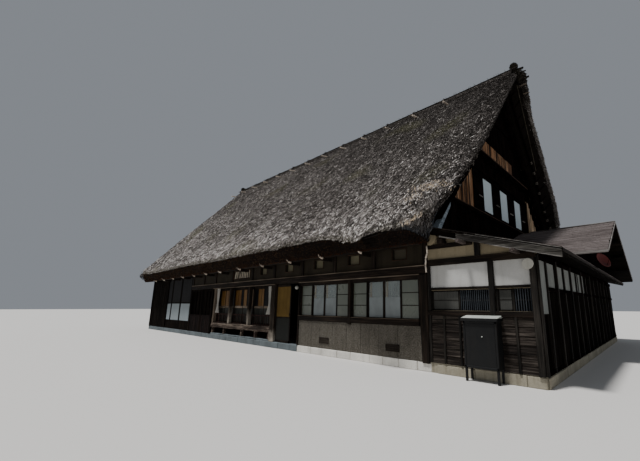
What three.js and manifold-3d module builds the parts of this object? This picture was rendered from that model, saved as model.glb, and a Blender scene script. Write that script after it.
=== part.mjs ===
// A thatched farmhouse with a steep gabled roof, a veranda with sliding doors, and a lean-to with a
// cross-gabled annex at its near end. Millimetres, +Z up, +X along the ridge towards the lean-to, and the
// entrance front faces -Y. Heights are counted from the foot of the main walls. At the end the whole group
// is moved, so that its lowest face lies on z = 0 with the origin at the middle of its footprint.
import * as THREE from "three";
import { mergeVertices } from "three/addons/utils/BufferGeometryUtils.js";
import Module from "manifold-3d";

const wasm = await Module();
wasm.setup();

// Driving dimensions of the main house
const NEAR_X = 100;
const FAR_X = -22480;
const DEPTH = 12800;
const FOOT_DROP = 220;
const GAP = 0.3;
const CLEAR = 0.5;
const WALL = 200;
const THIN_WALL = 150;
const FLOOR_TOP = 560;
const FLOOR_THICK = 60;
const PLINTH_WIDTH = 260;
const LINTEL_LOW = 2250;
const LINTEL_TOP = 2490;

// Roof: the underside and the outer face run parallel, and both are straight lines in section
const PITCH = 1.14;
const RIDGE_Y = DEPTH / 2;
const EAVE_LIP = { y: -1100, z: 3300 };
const EAVE_FOOT = { y: -500, z: 3000 };
const WORN_LIP = { x: -2400, y: -870 };
const VERGE = 1200;
const VERGE_TAPER = { from: 400, rise: 800 };
const VERGE_RAFTER = { inset: 200, width: 180, foot: 200, deep: 300, snip: 180 };
const CORNER_PLAN = [
  [-1300, -1100], [-900, -1050], [0, -1020], [250, -970], [450, -800], [600, -500], [720, -300],
  [860, -100], [940, 100], [1000, 500], [1030, 1200], [1050, 3000], [1080, 4500], [1300, 6200],
];
const RIDGE_TOP = EAVE_LIP.z + PITCH * (RIDGE_Y - EAVE_LIP.y);

// Lean-to and annex
const LEAN_X = 2780;
const LEAN_WALL = 120;
const LEAN_BASE_TOP = 20;
const LEAN_FALL = 0.291;
const LEAN_HIGH = 3490;
const LEAN_EAVE_X = 3330;
const LEAN_VERGE_Y = -230;
const LEAN_SLAB = 110;
const LEAN_BOARD = 175;
const LEAN_FRONT_Y = 10;
const LATTICE = { low: 1300, high: 1800, near: [1900, 2640], far: [190, 1730] };
const VENT = { x: 2630, z: 2315, radius: 120, reach: 60 };
const ANNEX_RIDGE = { y: 8100, z: 4660 };
const ANNEX_FRONT = { y: 4200, z: 3060 };
const ANNEX_BACK = { y: 13560, z: 2720 };
const ANNEX_EDGE_X = 3700;
const ANNEX_SLAB = 80;
const ANNEX_WALL_Y = 4500;
const DISH = { x: 3200, y: 7100, z: 3060, radius: 520, spread: 0.6, thick: 14, lean: 0.4, turn: 1 };
const CABINET = { x: [1180, 2070], front: -330, bodyZ: [-110, 1085], foot: 60, lidTop: [1145, 1215] };

// Front openings
const SASH = 630;
const GLASS = { low: 1060, high: 2130 };
const WINDOW_NEAR_X = -210;
const WINDOW_FAR_X = -2860;
const WINDOW_END_X = -5450;
const SMALL_LIGHTS = [-865, -2695, -4455, -6240, -8115];
const SLAT_LIGHT = [-10750, -9270];
const VERANDA_STRUTS = [-9000, -10860, -12660, -14100, -15530];
const WEST_X = -15600;
const BOARDS_X = -19460;
const ENTRANCE = { far: -7050, near: WINDOW_END_X, post: 310 };
const DOOR = { width: 950, height: 2235, thick: 36, y: 90, middle: 960, stile: 60 };

// Veranda
const VERANDA = { near: ENTRANCE.far - ENTRANCE.post, far: -12740 };
const VERANDA_POSTS = [-9200, -10970, -12660];
const VERANDA_FEET = [-7480, -8520, -9700, -11400, -12640];
const LEAF = { thick: 32, front: 232, back: 276, count: 6, shut: 8 };

// Gable windows
const GABLE_WINDOW = { width: 871, low: 4938, high: 6249, pitch: 1784 };
const LEDGE_LOW = 4780;
const LEDGE_HIGH = 7090;
const ARM_PITCH = 1786;
const ARM_FIRST = -2000;
const BACK_WINDOWS = { near: -3000, far: -14000, count: 8 };

const COLOURS = {
  thatch: [0x6f675c, 0.95],
  ridge_straw: [0x4a443b, 0.95],
  dark_timber: [0x241c16, 0.8],
  weathered_timber: [0x6d6557, 0.85],
  brown_board: [0x5a4130, 0.85],
  grey_board: [0x4a4740, 0.9],
  plaster: [0xd8d6cf, 0.9],
  paper: [0xe8edf2, 0.9],
  glass: [0x9aa3a3, 0.2],
  ochre_panel: [0x8a6420, 0.7],
  amber_leaf: [0x7a4a1c, 0.6],
  stone: [0x8f8c84, 0.95],
  shingle: [0x6b6258, 0.85],
  black_metal: [0x1b1b1c, 0.5],
  dish_red: [0x6a2a22, 0.5],
};

const house = new THREE.Group();

function add(name, geometry, finish) {
  const [color, roughness] = COLOURS[finish];
  const metalness = finish === "black_metal" ? 0.6 : 0;
  const material = new THREE.MeshStandardMaterial({ name: finish, color, roughness, metalness });
  const mesh = new THREE.Mesh(geometry, material);
  mesh.name = name;
  house.add(mesh);
}

function toSolid(geometry) {
  const bare = new THREE.BufferGeometry();
  bare.setAttribute("position", geometry.getAttribute("position"));
  if (geometry.index) bare.setIndex(geometry.index);
  const merged = mergeVertices(bare, 1e-3);
  const vertProperties = new Float32Array(merged.attributes.position.array);
  const triVerts = new Uint32Array(merged.index.array);
  return new wasm.Manifold(new wasm.Mesh({ numProp: 3, vertProperties, triVerts }));
}

function toGeometry(solid) {
  const mesh = solid.getMesh();
  const geometry = new THREE.BufferGeometry();
  geometry.setAttribute("position", new THREE.BufferAttribute(mesh.vertProperties, 3));
  geometry.setIndex(new THREE.BufferAttribute(mesh.triVerts, 1));
  return geometry;
}

function joined(...pieces) {
  return toGeometry(pieces.map(toSolid).reduce((all, piece) => all.add(piece)));
}

function cut(body, ...tools) {
  return toGeometry(tools.map(toSolid).reduce((left, tool) => left.subtract(tool), toSolid(body)));
}

function block([x0, x1], [y0, y1], [z0, z1]) {
  const box = new THREE.BoxGeometry(x1 - x0, y1 - y0, z1 - z0);
  return box.translate((x0 + x1) / 2, (y0 + y1) / 2, (z0 + z1) / 2);
}

function extruded(points, depth) {
  const shape = new THREE.Shape(points.map(([a, b]) => new THREE.Vector2(a, b)));
  return new THREE.ExtrudeGeometry(shape, { depth, bevelEnabled: false, steps: 1 });
}

// A (y, z) outline carried along X
function prismX(points, [x0, x1]) {
  const turn = new THREE.Matrix4().set(0, 0, 1, x0, 1, 0, 0, 0, 0, 1, 0, 0, 0, 0, 0, 1);
  return extruded(points, x1 - x0).applyMatrix4(turn);
}

// An (x, z) outline carried along Y
function prismY(points, [y0, y1]) {
  const turn = new THREE.Matrix4().set(1, 0, 0, 0, 0, 0, -1, y1, 0, 1, 0, 0, 0, 0, 0, 1);
  return extruded(points, y1 - y0).applyMatrix4(turn);
}

// An (x, y) outline carried up Z
function prismZ(points, [z0, z1]) {
  return extruded(points, z1 - z0).translate(0, 0, z0);
}

function flipTriangles(geometry) {
  const flat = geometry.index ? geometry.toNonIndexed() : geometry;
  const p = flat.attributes.position.array;
  for (let i = 0; i < p.length; i += 9) {
    for (let k = 0; k < 3; k += 1) [p[i + 3 + k], p[i + 6 + k]] = [p[i + 6 + k], p[i + 3 + k]];
  }
  return flat;
}

// The same piece on the back of the house
function toBack(geometry) {
  const turn = new THREE.Matrix4().makeScale(1, -1, 1).setPosition(0, DEPTH, 0);
  return flipTriangles(geometry.clone().applyMatrix4(turn));
}

// The same piece on the far gable
function toFarEnd(geometry) {
  const turn = new THREE.Matrix4().makeScale(-1, 1, 1).setPosition(NEAR_X + FAR_X, 0, 0);
  return flipTriangles(geometry.clone().applyMatrix4(turn));
}

function roofUnder(y) {
  const fromEave = Math.min(y, DEPTH - y);
  return EAVE_FOOT.z + PITCH * (fromEave - EAVE_FOOT.y);
}

// Stone plinths carry the walls down to the lowest ground
function addPlinths() {
  const drop = [-FOOT_DROP, -GAP];
  const long = block([FAR_X, NEAR_X], [0, PLINTH_WIDTH], drop);
  const y = [PLINTH_WIDTH + GAP, DEPTH - PLINTH_WIDTH - GAP];
  add("plinth_front", long, "stone");
  add("plinth_back", toBack(long), "stone");
  add("plinth_far", block([FAR_X, FAR_X + PLINTH_WIDTH], y, drop), "stone");
  add("plinth_near", block([NEAR_X - PLINTH_WIDTH, NEAR_X], y, drop), "stone");
  const x = [NEAR_X + GAP, LEAN_X];
  const base = [-FOOT_DROP, LEAN_BASE_TOP];
  const strip = THIN_WALL;
  add(
    "leanto_base",
    joined(
      block(x, [0, strip], base),
      block([LEAN_X - strip, LEAN_X], [0, DEPTH], base),
      block(x, [DEPTH - strip, DEPTH], base),
    ),
    "stone",
  );
}

function addFloors() {
  const y = [LEAF.back + LEAF.thick + 20, DEPTH - WALL - GAP];
  const z = [FLOOR_TOP - FLOOR_THICK, FLOOR_TOP];
  add("west_floor", block([FAR_X + WALL + GAP, VERANDA.near], y, z), "brown_board");
  add("east_floor", block([WINDOW_END_X, NEAR_X - WALL - GAP], [WALL + GAP, y[1]], z), "brown_board");
  const top = LEDGE_LOW - 30;
  const clear = (top - roofUnder(0)) / PITCH + 10;
  const x = [FAR_X + WALL + GAP, NEAR_X - WALL - GAP];
  add("attic_floor", block(x, [clear, DEPTH - clear], [top - FLOOR_THICK, top]), "brown_board");
}

function sashGroup(nearX, count, y, z = [GLASS.low, GLASS.high]) {
  const farX = nearX - count * SASH;
  const stile = 45;
  const pieces = [block([farX, nearX], [y + 8, y + 14], z)];
  for (let i = 0; i <= count; i += 1) {
    const x = nearX - i * SASH;
    const x0 = Math.max(farX, x - stile / 2);
    const x1 = Math.min(nearX, x + stile / 2);
    pieces.push(block([x0, x1], [y, y + 30], z));
  }
  pieces.push(block([farX, nearX], [y, y + 30], [z[0], z[0] + 60]));
  pieces.push(block([farX, nearX], [y, y + 30], [z[1] - 50, z[1]]));
  return joined(...pieces);
}

function addFrontWindows() {
  const high = LINTEL_LOW - GAP;
  const top = GLASS.high + GAP;
  const sill = GLASS.low - GAP;
  const width = 4 * SASH;
  const through = [-10, 150];
  const wall = block([WINDOW_END_X, NEAR_X], [0, 140], [0, high]);
  const dado = { near: -250, high: 880, face: 8, back: 40 };
  add(
    "front_window_wall",
    cut(
      wall,
      block([WINDOW_NEAR_X - width - GAP, WINDOW_NEAR_X + GAP], through, [sill, top]),
      block([WINDOW_FAR_X - width - GAP, WINDOW_FAR_X + GAP], through, [sill, top]),
      block([WINDOW_END_X - 10, dado.near], [-10, dado.back], [-10, dado.high]),
    ),
    "dark_timber",
  );
  const dadoX = [WINDOW_END_X, dado.near - GAP];
  add("front_dado", block(dadoX, [dado.face, dado.back - GAP], [0, dado.high - GAP]), "grey_board");
  add("window_group_near", sashGroup(WINDOW_NEAR_X, 4, 50), "glass");
  add("window_group_mid", sashGroup(WINDOW_FAR_X, 4, 50), "glass");
}

function addFrontUpperWall() {
  const span = [WEST_X, NEAR_X];
  add("front_lintel", block(span, [0, WALL], [LINTEL_LOW, LINTEL_TOP]), "dark_timber");
  const top = roofUnder(0) - CLEAR;
  const low = LINTEL_TOP + GAP;
  const plateLow = top - 200;
  const wall = block(span, [40, 140], [low, plateLow]);
  const plate = block(span, [0, WALL], [plateLow, top]);
  const half = 70;
  const strutX = [...SMALL_LIGHTS.map((x) => x + 880), ...VERANDA_STRUTS];
  const struts = strutX.map((x) =>
    block([x - half, Math.min(x + half, NEAR_X)], [10, THIN_WALL], [low, top]));
  const through = [0, THIN_WALL + 10];
  const holes = SMALL_LIGHTS.map((x) => block([x - 235, x + 235], through, [2720, 3020]));
  holes.push(block(SLAT_LIGHT, through, [2650, 3000]));
  const panel = joined(wall, plate, ...struts);
  add("front_upper_wall", cut(panel, ...holes), "dark_timber");
  const sheetX = [SLAT_LIGHT[0] - 60, SMALL_LIGHTS[0] + 400];
  add("front_upper_shoji", block(sheetX, [THIN_WALL + GAP, THIN_WALL + 12], [2620, 3050]), "paper");
}

// A log under the thatch edge on arms that stand out of the wall
function eavePurlin() {
  const top = EAVE_FOOT.z - CLEAR;
  const log = [-350, -210];
  const pieces = [];
  for (let x = ARM_FIRST; x > FAR_X; x -= ARM_PITCH) {
    pieces.push(block([x - 60, x + 60], [EAVE_FOOT.y, -GAP], [top - 120, top]));
  }
  pieces.push(block([FAR_X - 900, NEAR_X], log, [top - 40, roofUnder(log[0]) - CLEAR]));
  return joined(...pieces);
}

function addEntrance() {
  const post = [ENTRANCE.far - ENTRANCE.post, ENTRANCE.far];
  add("entrance_post", block(post, [0, 300], [0, LINTEL_LOW - GAP]), "dark_timber");
  const { width, height, thick, middle, stile } = DOOR;
  const x = [ENTRANCE.far + 5, ENTRANCE.far + 5 + width];
  const y = [DOOR.y, DOOR.y + thick];
  const lower = block(x, y, [GAP, middle]);
  const upper = block(x, [y[0] + 8, y[1] - 8], [middle - stile, height]);
  const rails = [
    block(x, y, [height - 100, height]),
    block([x[0], x[0] + stile], y, [middle - stile, height]),
    block([x[1] - stile, x[1]], y, [middle - stile, height]),
  ];
  add("entrance_door", joined(lower, upper, ...rails), "ochre_panel");
}

function leaf(x0, x1, y, z) {
  const edge = 55;
  const [low, high] = z;
  const middle = low + 0.47 * (high - low);
  const thick = [y, y + LEAF.thick];
  return joined(
    block([x0, x1], [y + 9, y + LEAF.thick - 9], z),
    block([x0, x1], thick, [low, low + 70]),
    block([x0, x1], thick, [middle - 30, middle + 30]),
    block([x0, x1], thick, [high - 60, high]),
    block([x0, x0 + edge], thick, z),
    block([x1 - edge, x1], thick, z),
  );
}

function addVeranda() {
  const { near, far } = VERANDA;
  const beamX = [far, near - GAP];
  const pieces = [block(beamX, [0, 200], [320, FLOOR_TOP])];
  for (const x of VERANDA_FEET) {
    pieces.push(block([x - 60, x + 60], [40, 160], [0, 340]));
  }
  add("veranda_edge_beam", joined(...pieces), "weathered_timber");
  VERANDA_POSTS.forEach((x, i) => {
    const body = block([x - 80, x + 80], [20, 180], [FLOOR_TOP + GAP, LINTEL_LOW - GAP]);
    add("veranda_post_" + (i + 1), body, "weathered_timber");
  });
  addRailing();
  addScreens();
}

// Slatted guard between the posts
function addRailing() {
  const y = [182, 206];
  const x = [VERANDA.far + 10, VERANDA.near - 5];
  const pieces = [
    block(x, y, [FLOOR_TOP + GAP, FLOOR_TOP + 50]),
    block(x, y, [960, 1010]),
  ];
  const bars = 30;
  const pitch = (x[1] - x[0] - 60) / bars;
  for (let i = 0; i <= bars; i += 1) {
    const bx = x[0] + 30 + i * pitch;
    pieces.push(block([bx - 22, bx + 22], [y[0] + 4, y[1] - 4], [FLOOR_TOP + 40, 980]));
  }
  add("veranda_railing", joined(...pieces), "dark_timber");
}

// Glazed leaves on two tracks behind the posts: every other one slides
function addScreens() {
  const { near, far } = VERANDA;
  const pitch = (near - far) / LEAF.count;
  const back = LEAF.back + LEAF.thick;
  const sill = FLOOR_TOP + 30;
  const z = [sill, LINTEL_LOW - 70];
  const x = [far, near - GAP];
  const fixed = [
    block(x, [LEAF.front - 10, back], [FLOOR_TOP - 100, sill - CLEAR]),
    block(x, [LEAF.back - 6, back], [z[1] - 20, LINTEL_LOW - GAP]),
  ];
  const lap = 30;
  for (let i = 0; i < LEAF.count; i += 2) {
    const at = far + i * pitch;
    fixed.push(leaf(at + 2, at + pitch + lap, LEAF.back, [sill - 10, z[1]]));
    const x0 = at + pitch - lap;
    const x1 = Math.min(at + 2 * pitch + lap, near - LEAF.shut);
    add("veranda_door_" + (i / 2 + 1), leaf(x0, x1, LEAF.front, z), "amber_leaf");
  }
  add("veranda_fixed_leaves", joined(...fixed), "amber_leaf");
}

function addWestFront() {
  const high = LINTEL_LOW - GAP;
  const y = [0, THIN_WALL];
  const dark = block([WEST_X, VERANDA.far - GAP], y, [0, high]);
  const recess = block([WEST_X + 150, VERANDA.far - 160], [-10, 80], [900, 2150]);
  add("west_bay_wall", cut(dark, recess), "dark_timber");
  const top = roofUnder(0) - CLEAR;
  const screens = block([BOARDS_X, WEST_X - GAP], y, [0, top]);
  const recesses = [[-17120, -15740], [-18610, -17310], [-19380, -18770]].map((x) => [
    block(x, [-10, 25], [520, 1500]),
    block(x, [-10, 25], [1560, 2980]),
  ]);
  add("west_screen_wall", cut(screens, ...recesses.flat()), "dark_timber");
  add("west_board_wall", block([FAR_X, BOARDS_X - GAP], y, [0, top]), "dark_timber");
}

function addBackWall() {
  const { near, far, count } = BACK_WINDOWS;
  const wall = block([FAR_X, NEAR_X], [0, THIN_WALL], [0, roofUnder(0) - CLEAR]);
  const width = count * SASH;
  const z = [GLASS.low - GAP, GLASS.high + GAP];
  const windows = [near, far].map((x) => block([x - width - GAP, x + GAP], [-10, THIN_WALL + 10], z));
  add("back_wall", toBack(cut(wall, ...windows)), "dark_timber");
  add("back_window_group_near", toBack(sashGroup(near, count, 50)), "glass");
  add("back_window_group_far", toBack(sashGroup(far, count, 50)), "glass");
  add("back_eave_purlin", toBack(eavePurlin()), "dark_timber");
}

// Outline of the gable between two heights, under the thatch and between the long walls
function gableOutline(low, high) {
  const edge = WALL + GAP;
  const clear = CLEAR + 0.1;
  const atHeight = (z) => Math.max(edge, (z + clear - roofUnder(0)) / PITCH);
  const points = [[atHeight(low), low]];
  const knee = roofUnder(edge) - clear;
  if (low < knee) points.push([edge, knee]);
  const peak = roofUnder(RIDGE_Y) - clear;
  if (high < peak) points.push([atHeight(high), high]);
  const mirrored = points.map(([y, z]) => [DEPTH - y, z]).reverse();
  if (high >= peak) points.push([RIDGE_Y, peak]);
  return [...points, ...mirrored].reverse();
}

function gablePieces() {
  const x = [NEAR_X - WALL, NEAR_X];
  const { width, low, high, pitch } = GABLE_WINDOW;
  const windows = [-1, 0, 1].map((i) => {
    const y = RIDGE_Y + i * pitch;
    return block([x[0] - 10, x[1] + 10], [y - width / 2, y + width / 2], [low, high]);
  });
  const root = NEAR_X - 50;
  const ledgeY = [1300, DEPTH - 1300];
  const ledgeBar = block([root, NEAR_X + 120], ledgeY, [LEDGE_LOW - 140, LEDGE_LOW - GAP]);
  const notchY = [ANNEX_RIDGE.y - 130, ANNEX_RIDGE.y + 130];
  const lowLedge = cut(ledgeBar, block([NEAR_X, NEAR_X + 200], notchY, [LEDGE_LOW - 200, LEDGE_LOW]));
  const highY = [3500, DEPTH - 3500];
  const highLedge = block([root, NEAR_X + 260], highY, [LEDGE_HIGH + GAP, LEDGE_HIGH + 80]);
  const bandX = [NEAR_X + GAP, NEAR_X + 40];
  const reach = pitch + width / 2 + 120;
  const band = [
    block(bandX, [RIDGE_Y - reach, RIDGE_Y + reach], [low - 90, low - 10]),
    block(bandX, [RIDGE_Y - reach, RIDGE_Y + reach], [high + 10, high + 90]),
  ];
  for (const i of [-1, 0, 1]) {
    const y = RIDGE_Y + i * pitch;
    band.push(block([bandX[0] + 8, bandX[0] + 18], [y - width / 2, y + width / 2], [low - 20, high + 20]));
  }
  return {
    lower: joined(prismX(gableOutline(0, LEDGE_LOW - GAP), x), lowLedge),
    middle: cut(prismX(gableOutline(LEDGE_LOW, LEDGE_HIGH), x), ...windows),
    upper: joined(prismX(gableOutline(LEDGE_HIGH + GAP, RIDGE_TOP), x), highLedge),
    band: joined(...band),
  };
}

function addGables() {
  const gable = gablePieces();
  add("near_gable_lower", gable.lower, "dark_timber");
  add("near_gable_middle", gable.middle, "brown_board");
  add("near_gable_upper", gable.upper, "dark_timber");
  add("near_gable_windows", gable.band, "paper");
  add("far_gable_lower", toFarEnd(gable.lower), "dark_timber");
  add("far_gable_middle", toFarEnd(gable.middle), "brown_board");
  add("far_gable_upper", toFarEnd(gable.upper), "dark_timber");
  add("far_gable_windows", toFarEnd(gable.band), "paper");
}

// What is cut away outside the rounded eave corner and the slightly drawn-in verge
function cornerCutter() {
  const edge = NEAR_X + VERGE + 10;
  const lip = EAVE_LIP.y - 10;
  const last = CORNER_PLAN.at(-1);
  const points = [...CORNER_PLAN, [edge, last[1]], [edge, lip], [CORNER_PLAN[0][0], lip]];
  return prismZ(points.reverse(), [2000, 12000]);
}

// What is cut away under the verge, where the thatch thins out towards its edge
function taperCutter() {
  const under = EAVE_FOOT.z - PITCH * EAVE_FOOT.y;
  const { from, rise } = VERGE_TAPER;
  const edge = NEAR_X + VERGE;
  const slope = rise / (edge - from);
  const past = edge + 10;
  const low = under - 500;
  const outline = [[from, low], [past, low], [past, under + slope * (past - from)], [from, under]];
  const shear = new THREE.Matrix4().set(1, 0, 0, 0, 0, 1, 0, 0, 0, PITCH, 1, 0, 0, 0, 0, 1);
  return prismY(outline, [EAVE_LIP.y - 100, RIDGE_Y + 10]).applyMatrix4(shear);
}

// What rain has worn off the lip of the eave, all but its near end
function lipCutter() {
  const top = EAVE_LIP.z + PITCH * (WORN_LIP.y - EAVE_LIP.y);
  const fall = (top - EAVE_FOOT.z) / (WORN_LIP.y - EAVE_FOOT.y);
  const along = (y) => [y, EAVE_FOOT.z + fall * (y - EAVE_FOOT.y)];
  const [inner, outer] = [along(EAVE_FOOT.y + 40), along(WORN_LIP.y - 40)];
  const past = EAVE_LIP.y - 100;
  const outline = [inner, outer, [past, outer[1]], [past, inner[1]]];
  return prismX(outline, [FAR_X - VERGE - 10, WORN_LIP.x]);
}

function thatchHalf() {
  const inner = roofUnder(RIDGE_Y);
  const outline = [
    [EAVE_LIP.y, EAVE_LIP.z],
    [EAVE_FOOT.y, EAVE_FOOT.z],
    [RIDGE_Y - GAP, inner],
    [RIDGE_Y - GAP, RIDGE_TOP],
  ];
  const slab = prismX(outline, [FAR_X - VERGE, NEAR_X + VERGE]);
  const cutters = [cornerCutter(), taperCutter()];
  return joined(cut(slab, lipCutter(), ...cutters, ...cutters.map(toFarEnd)), ...ridgePoleTips());
}

// Ends of the poles that pass through the thatch under the ridge
function ridgePoleTips() {
  const radius = 55;
  const z = RIDGE_TOP - 700;
  const [tip, root] = [RIDGE_Y - 1030, RIDGE_Y - 400];
  const tips = [];
  for (let x = ARM_FIRST; x > FAR_X - VERGE; x -= ARM_PITCH) {
    const pole = new THREE.CylinderGeometry(radius, radius, root - tip, 7);
    tips.push(pole.translate(x, (tip + root) / 2, z));
  }
  return tips;
}

function addRoof() {
  const half = thatchHalf();
  const x = [NEAR_X - 5, NEAR_X + 1400];
  const over = x.map((at) => leanTop(at) + 5);
  const below = 2000;
  const outline = [[x[0], below], [x[1], below], [x[1], over[1]], [x[0], over[0]]];
  const trim = prismY(outline, [LEAN_VERGE_Y - 5, 1500]);
  add("thatch_front", cut(half, trim), "thatch");
  add("thatch_back", toBack(half), "thatch");
  addRidge();
  addVergeRafters();
}

function addVergeRafters() {
  const { inset, width, foot, deep, snip } = VERGE_RAFTER;
  const head = RIDGE_Y - 10;
  const [low, high] = [roofUnder(foot) - CLEAR, roofUnder(head) - CLEAR];
  const outline = [[foot, low], [foot + snip, low - deep + snip], [head, high - deep], [head, high]];
  const near = prismX(outline, [NEAR_X + inset, NEAR_X + inset + width]);
  for (const [end, rafter] of [["near", near], ["far", toFarEnd(near)]]) {
    add(end + "_verge_rafter_front", rafter, "dark_timber");
    add(end + "_verge_rafter_back", toBack(rafter), "dark_timber");
  }
}

// Straw saddle over the ridge, with the ends of the cross poles that hold it
function addRidge() {
  const halfWidth = 520;
  const thick = 130;
  const skirt = RIDGE_TOP - PITCH * halfWidth;
  const outline = [
    [RIDGE_Y - halfWidth, skirt + CLEAR],
    [RIDGE_Y, RIDGE_TOP + CLEAR],
    [RIDGE_Y + halfWidth, skirt + CLEAR],
    [RIDGE_Y + halfWidth + 30, skirt + 70],
    [RIDGE_Y + 180, RIDGE_TOP + thick - 80],
    [RIDGE_Y, RIDGE_TOP + thick],
    [RIDGE_Y - 180, RIDGE_TOP + thick - 80],
    [RIDGE_Y - halfWidth - 30, skirt + 70],
  ];
  add("ridge_saddle", prismX(outline, [FAR_X - VERGE, NEAR_X + VERGE]), "ridge_straw");
}

function leanTop(x) {
  return LEAN_HIGH - LEAN_FALL * (x - NEAR_X);
}

function annexTop(y) {
  const { y: ry, z: rz } = ANNEX_RIDGE;
  const eave = y < ry ? ANNEX_FRONT : ANNEX_BACK;
  return rz - ((rz - eave.z) * (y - ry)) / (eave.y - ry);
}

function addLeanTo() {
  const x0 = NEAR_X + GAP;
  const under = (x) => leanTop(x) - LEAN_SLAB - CLEAR;
  const low = LEAN_BASE_TOP + GAP;
  const y = [LEAN_FRONT_Y, LEAN_FRONT_Y + LEAN_WALL];
  const outline = [[x0, low], [LEAN_X, low], [LEAN_X, under(LEAN_X)], [x0, under(x0)]];
  const lights = [LATTICE.far, LATTICE.near].map((x) =>
    block(x, [y[0] - 10, y[1] + 10], [LATTICE.low, LATTICE.high]));
  const vent = new THREE.CylinderGeometry(VENT.radius, VENT.radius, VENT.reach + 10, 20);
  vent.translate(VENT.x, LEAN_FRONT_Y - VENT.reach / 2, VENT.z);
  add("leanto_front_wall", joined(cut(prismY(outline, y), ...lights), vent), "plaster");
  const frameX = [LATTICE.far[0] - 40, LATTICE.near[1] - 20];
  const frameZ = [LATTICE.low - 40, LATTICE.high + 40];
  add("leanto_lattice", block(frameX, [y[1] + GAP, y[1] + 16], frameZ), "dark_timber");
  const sideY = [y[1] + GAP, DEPTH - THIN_WALL - GAP];
  const inner = LEAN_X - LEAN_WALL;
  add("leanto_side_wall", block([inner, LEAN_X], sideY, [low, under(LEAN_X)]), "plaster");
  const backY = [DEPTH - THIN_WALL, DEPTH - 30];
  const backTop = annexTop(backY[1]) - ANNEX_SLAB - CLEAR;
  add("leanto_back_wall", block([x0, inner - GAP], backY, [low, backTop]), "grey_board");
  addLeanToRoof();
  addCabinet();
}

// The lean-to roof ends in a valley under the annex roof, and goes on as a skirt along its wall
function addLeanToRoof() {
  const x0 = NEAR_X + GAP;
  const x1 = LEAN_EAVE_X;
  const [high, low] = [leanTop(x0), leanTop(x1)];
  const outline = (deep) => [[x0, high - deep], [x1, low - deep], [x1, low], [x0, high]];
  const slab = prismY(outline(LEAN_SLAB), [LEAN_VERGE_Y, DEPTH + 350]);
  const board = prismY(outline(LEAN_BOARD), [LEAN_VERGE_Y, LEAN_VERGE_Y + 40]);
  const y0 = ANNEX_WALL_Y + LEAN_WALL;
  const y1 = DEPTH + 400;
  const [bottom, top] = [2000, 5000];
  const room = prismX(
    [[y0, bottom], [y1, bottom], [y1, top], [ANNEX_RIDGE.y, top], [y0, annexTop(y0) + CLEAR]],
    [0, LEAN_X - LEAN_WALL],
  );
  add("leanto_roof", cut(joined(slab, board), room), "shingle");
}

// A metal cupboard on four feet against the lean-to wall
function addCabinet() {
  const { x, front, bodyZ, foot, lidTop } = CABINET;
  const y = [front, -GAP];
  const feet = [x[0], x[1] - foot].flatMap((fx) => [y[0], y[1] - foot].map((fy) =>
    block([fx, fx + foot], [fy, fy + foot], [-FOOT_DROP, bodyZ[0] + 20])));
  const [lip, seat] = [y[0] - 35, LEAN_FRONT_Y - GAP];
  const under = bodyZ[1] - 5;
  const outline = [[lip, under], [seat, under], [seat, lidTop[1]], [lip, lidTop[0]]];
  const lid = prismX(outline, [x[0] - 35, x[1] + 45]);
  add("utility_cabinet", joined(block(x, y, bodyZ), lid, ...feet), "black_metal");
}

function annexSlope(eave) {
  const { y, z } = ANNEX_RIDGE;
  const side = Math.sign(eave.y - y);
  const points = [
    [y + side * 0.2, z],
    [eave.y, eave.z],
    [eave.y, eave.z - ANNEX_SLAB],
    [y + side * 0.2, z - ANNEX_SLAB],
  ];
  const wound = side < 0 ? points : points.reverse();
  return prismX(wound, [NEAR_X + GAP, ANNEX_EDGE_X]);
}

function addAnnex() {
  const farX = LEAN_X + 200;
  const belowLean = prismY(
    [[0, 1000], [farX, 1000], [farX, leanTop(farX) + CLEAR], [0, leanTop(0) + CLEAR]],
    [ANNEX_FRONT.y - 10, ANNEX_RIDGE.y],
  );
  add("annex_roof_front", cut(annexSlope(ANNEX_FRONT), belowLean), "shingle");
  add("annex_roof_back", annexSlope(ANNEX_BACK), "shingle");
  const under = (y) => annexTop(y) - ANNEX_SLAB - CLEAR;
  const inner = LEAN_X - LEAN_WALL;
  const foot = leanTop(inner) + CLEAR;
  const y0 = ANNEX_WALL_Y;
  const y1 = DEPTH - THIN_WALL;
  const ry = ANNEX_RIDGE.y;
  const gable = prismX(
    [[y0, foot], [y1, foot], [y1, under(y1)], [ry, under(ry)], [y0, under(y0)]],
    [inner, LEAN_X],
  );
  const level = under(y0);
  const startX = NEAR_X + (LEAN_HIGH + CLEAR - level) / LEAN_FALL;
  const endX = LEAN_X - 10;
  const front = prismY(
    [[startX, level], [endX, leanTop(endX) + CLEAR], [endX, level]],
    [y0, y0 + LEAN_WALL - GAP],
  );
  add("annex_walls", joined(gable, front), "dark_timber");
  addDish();
}

// A small receiver bowl on an arm that stands out of the annex gable
function addDish() {
  const { x, y, z, radius, lean, turn } = DISH;
  const bowl = new THREE.LatheGeometry(bowlProfile(), 20);
  bowl.translate(0, -radius, 0).rotateX(-lean).rotateZ(turn).translate(x, y, z);
  const arm = block([LEAN_X + GAP, x + 25], [y - 8, y + 32], [z - 20, z + 20]);
  add("receiver_dish", joined(bowl, arm), "dish_red");
}

function bowlProfile() {
  const { radius, spread, thick } = DISH;
  const steps = 5;
  const ring = (r) => [...Array(steps + 1).keys()].map((i) => {
    const a = (i / steps) * spread;
    return new THREE.Vector2(r * Math.sin(a), r * Math.cos(a));
  });
  return [...ring(radius - thick), ...ring(radius).reverse()];
}

addPlinths();
addFloors();
addFrontWindows();
addFrontUpperWall();
add("front_eave_purlin", eavePurlin(), "dark_timber");
addEntrance();
addVeranda();
addWestFront();
addBackWall();
addGables();
addRoof();
addLeanTo();
addAnnex();

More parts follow.
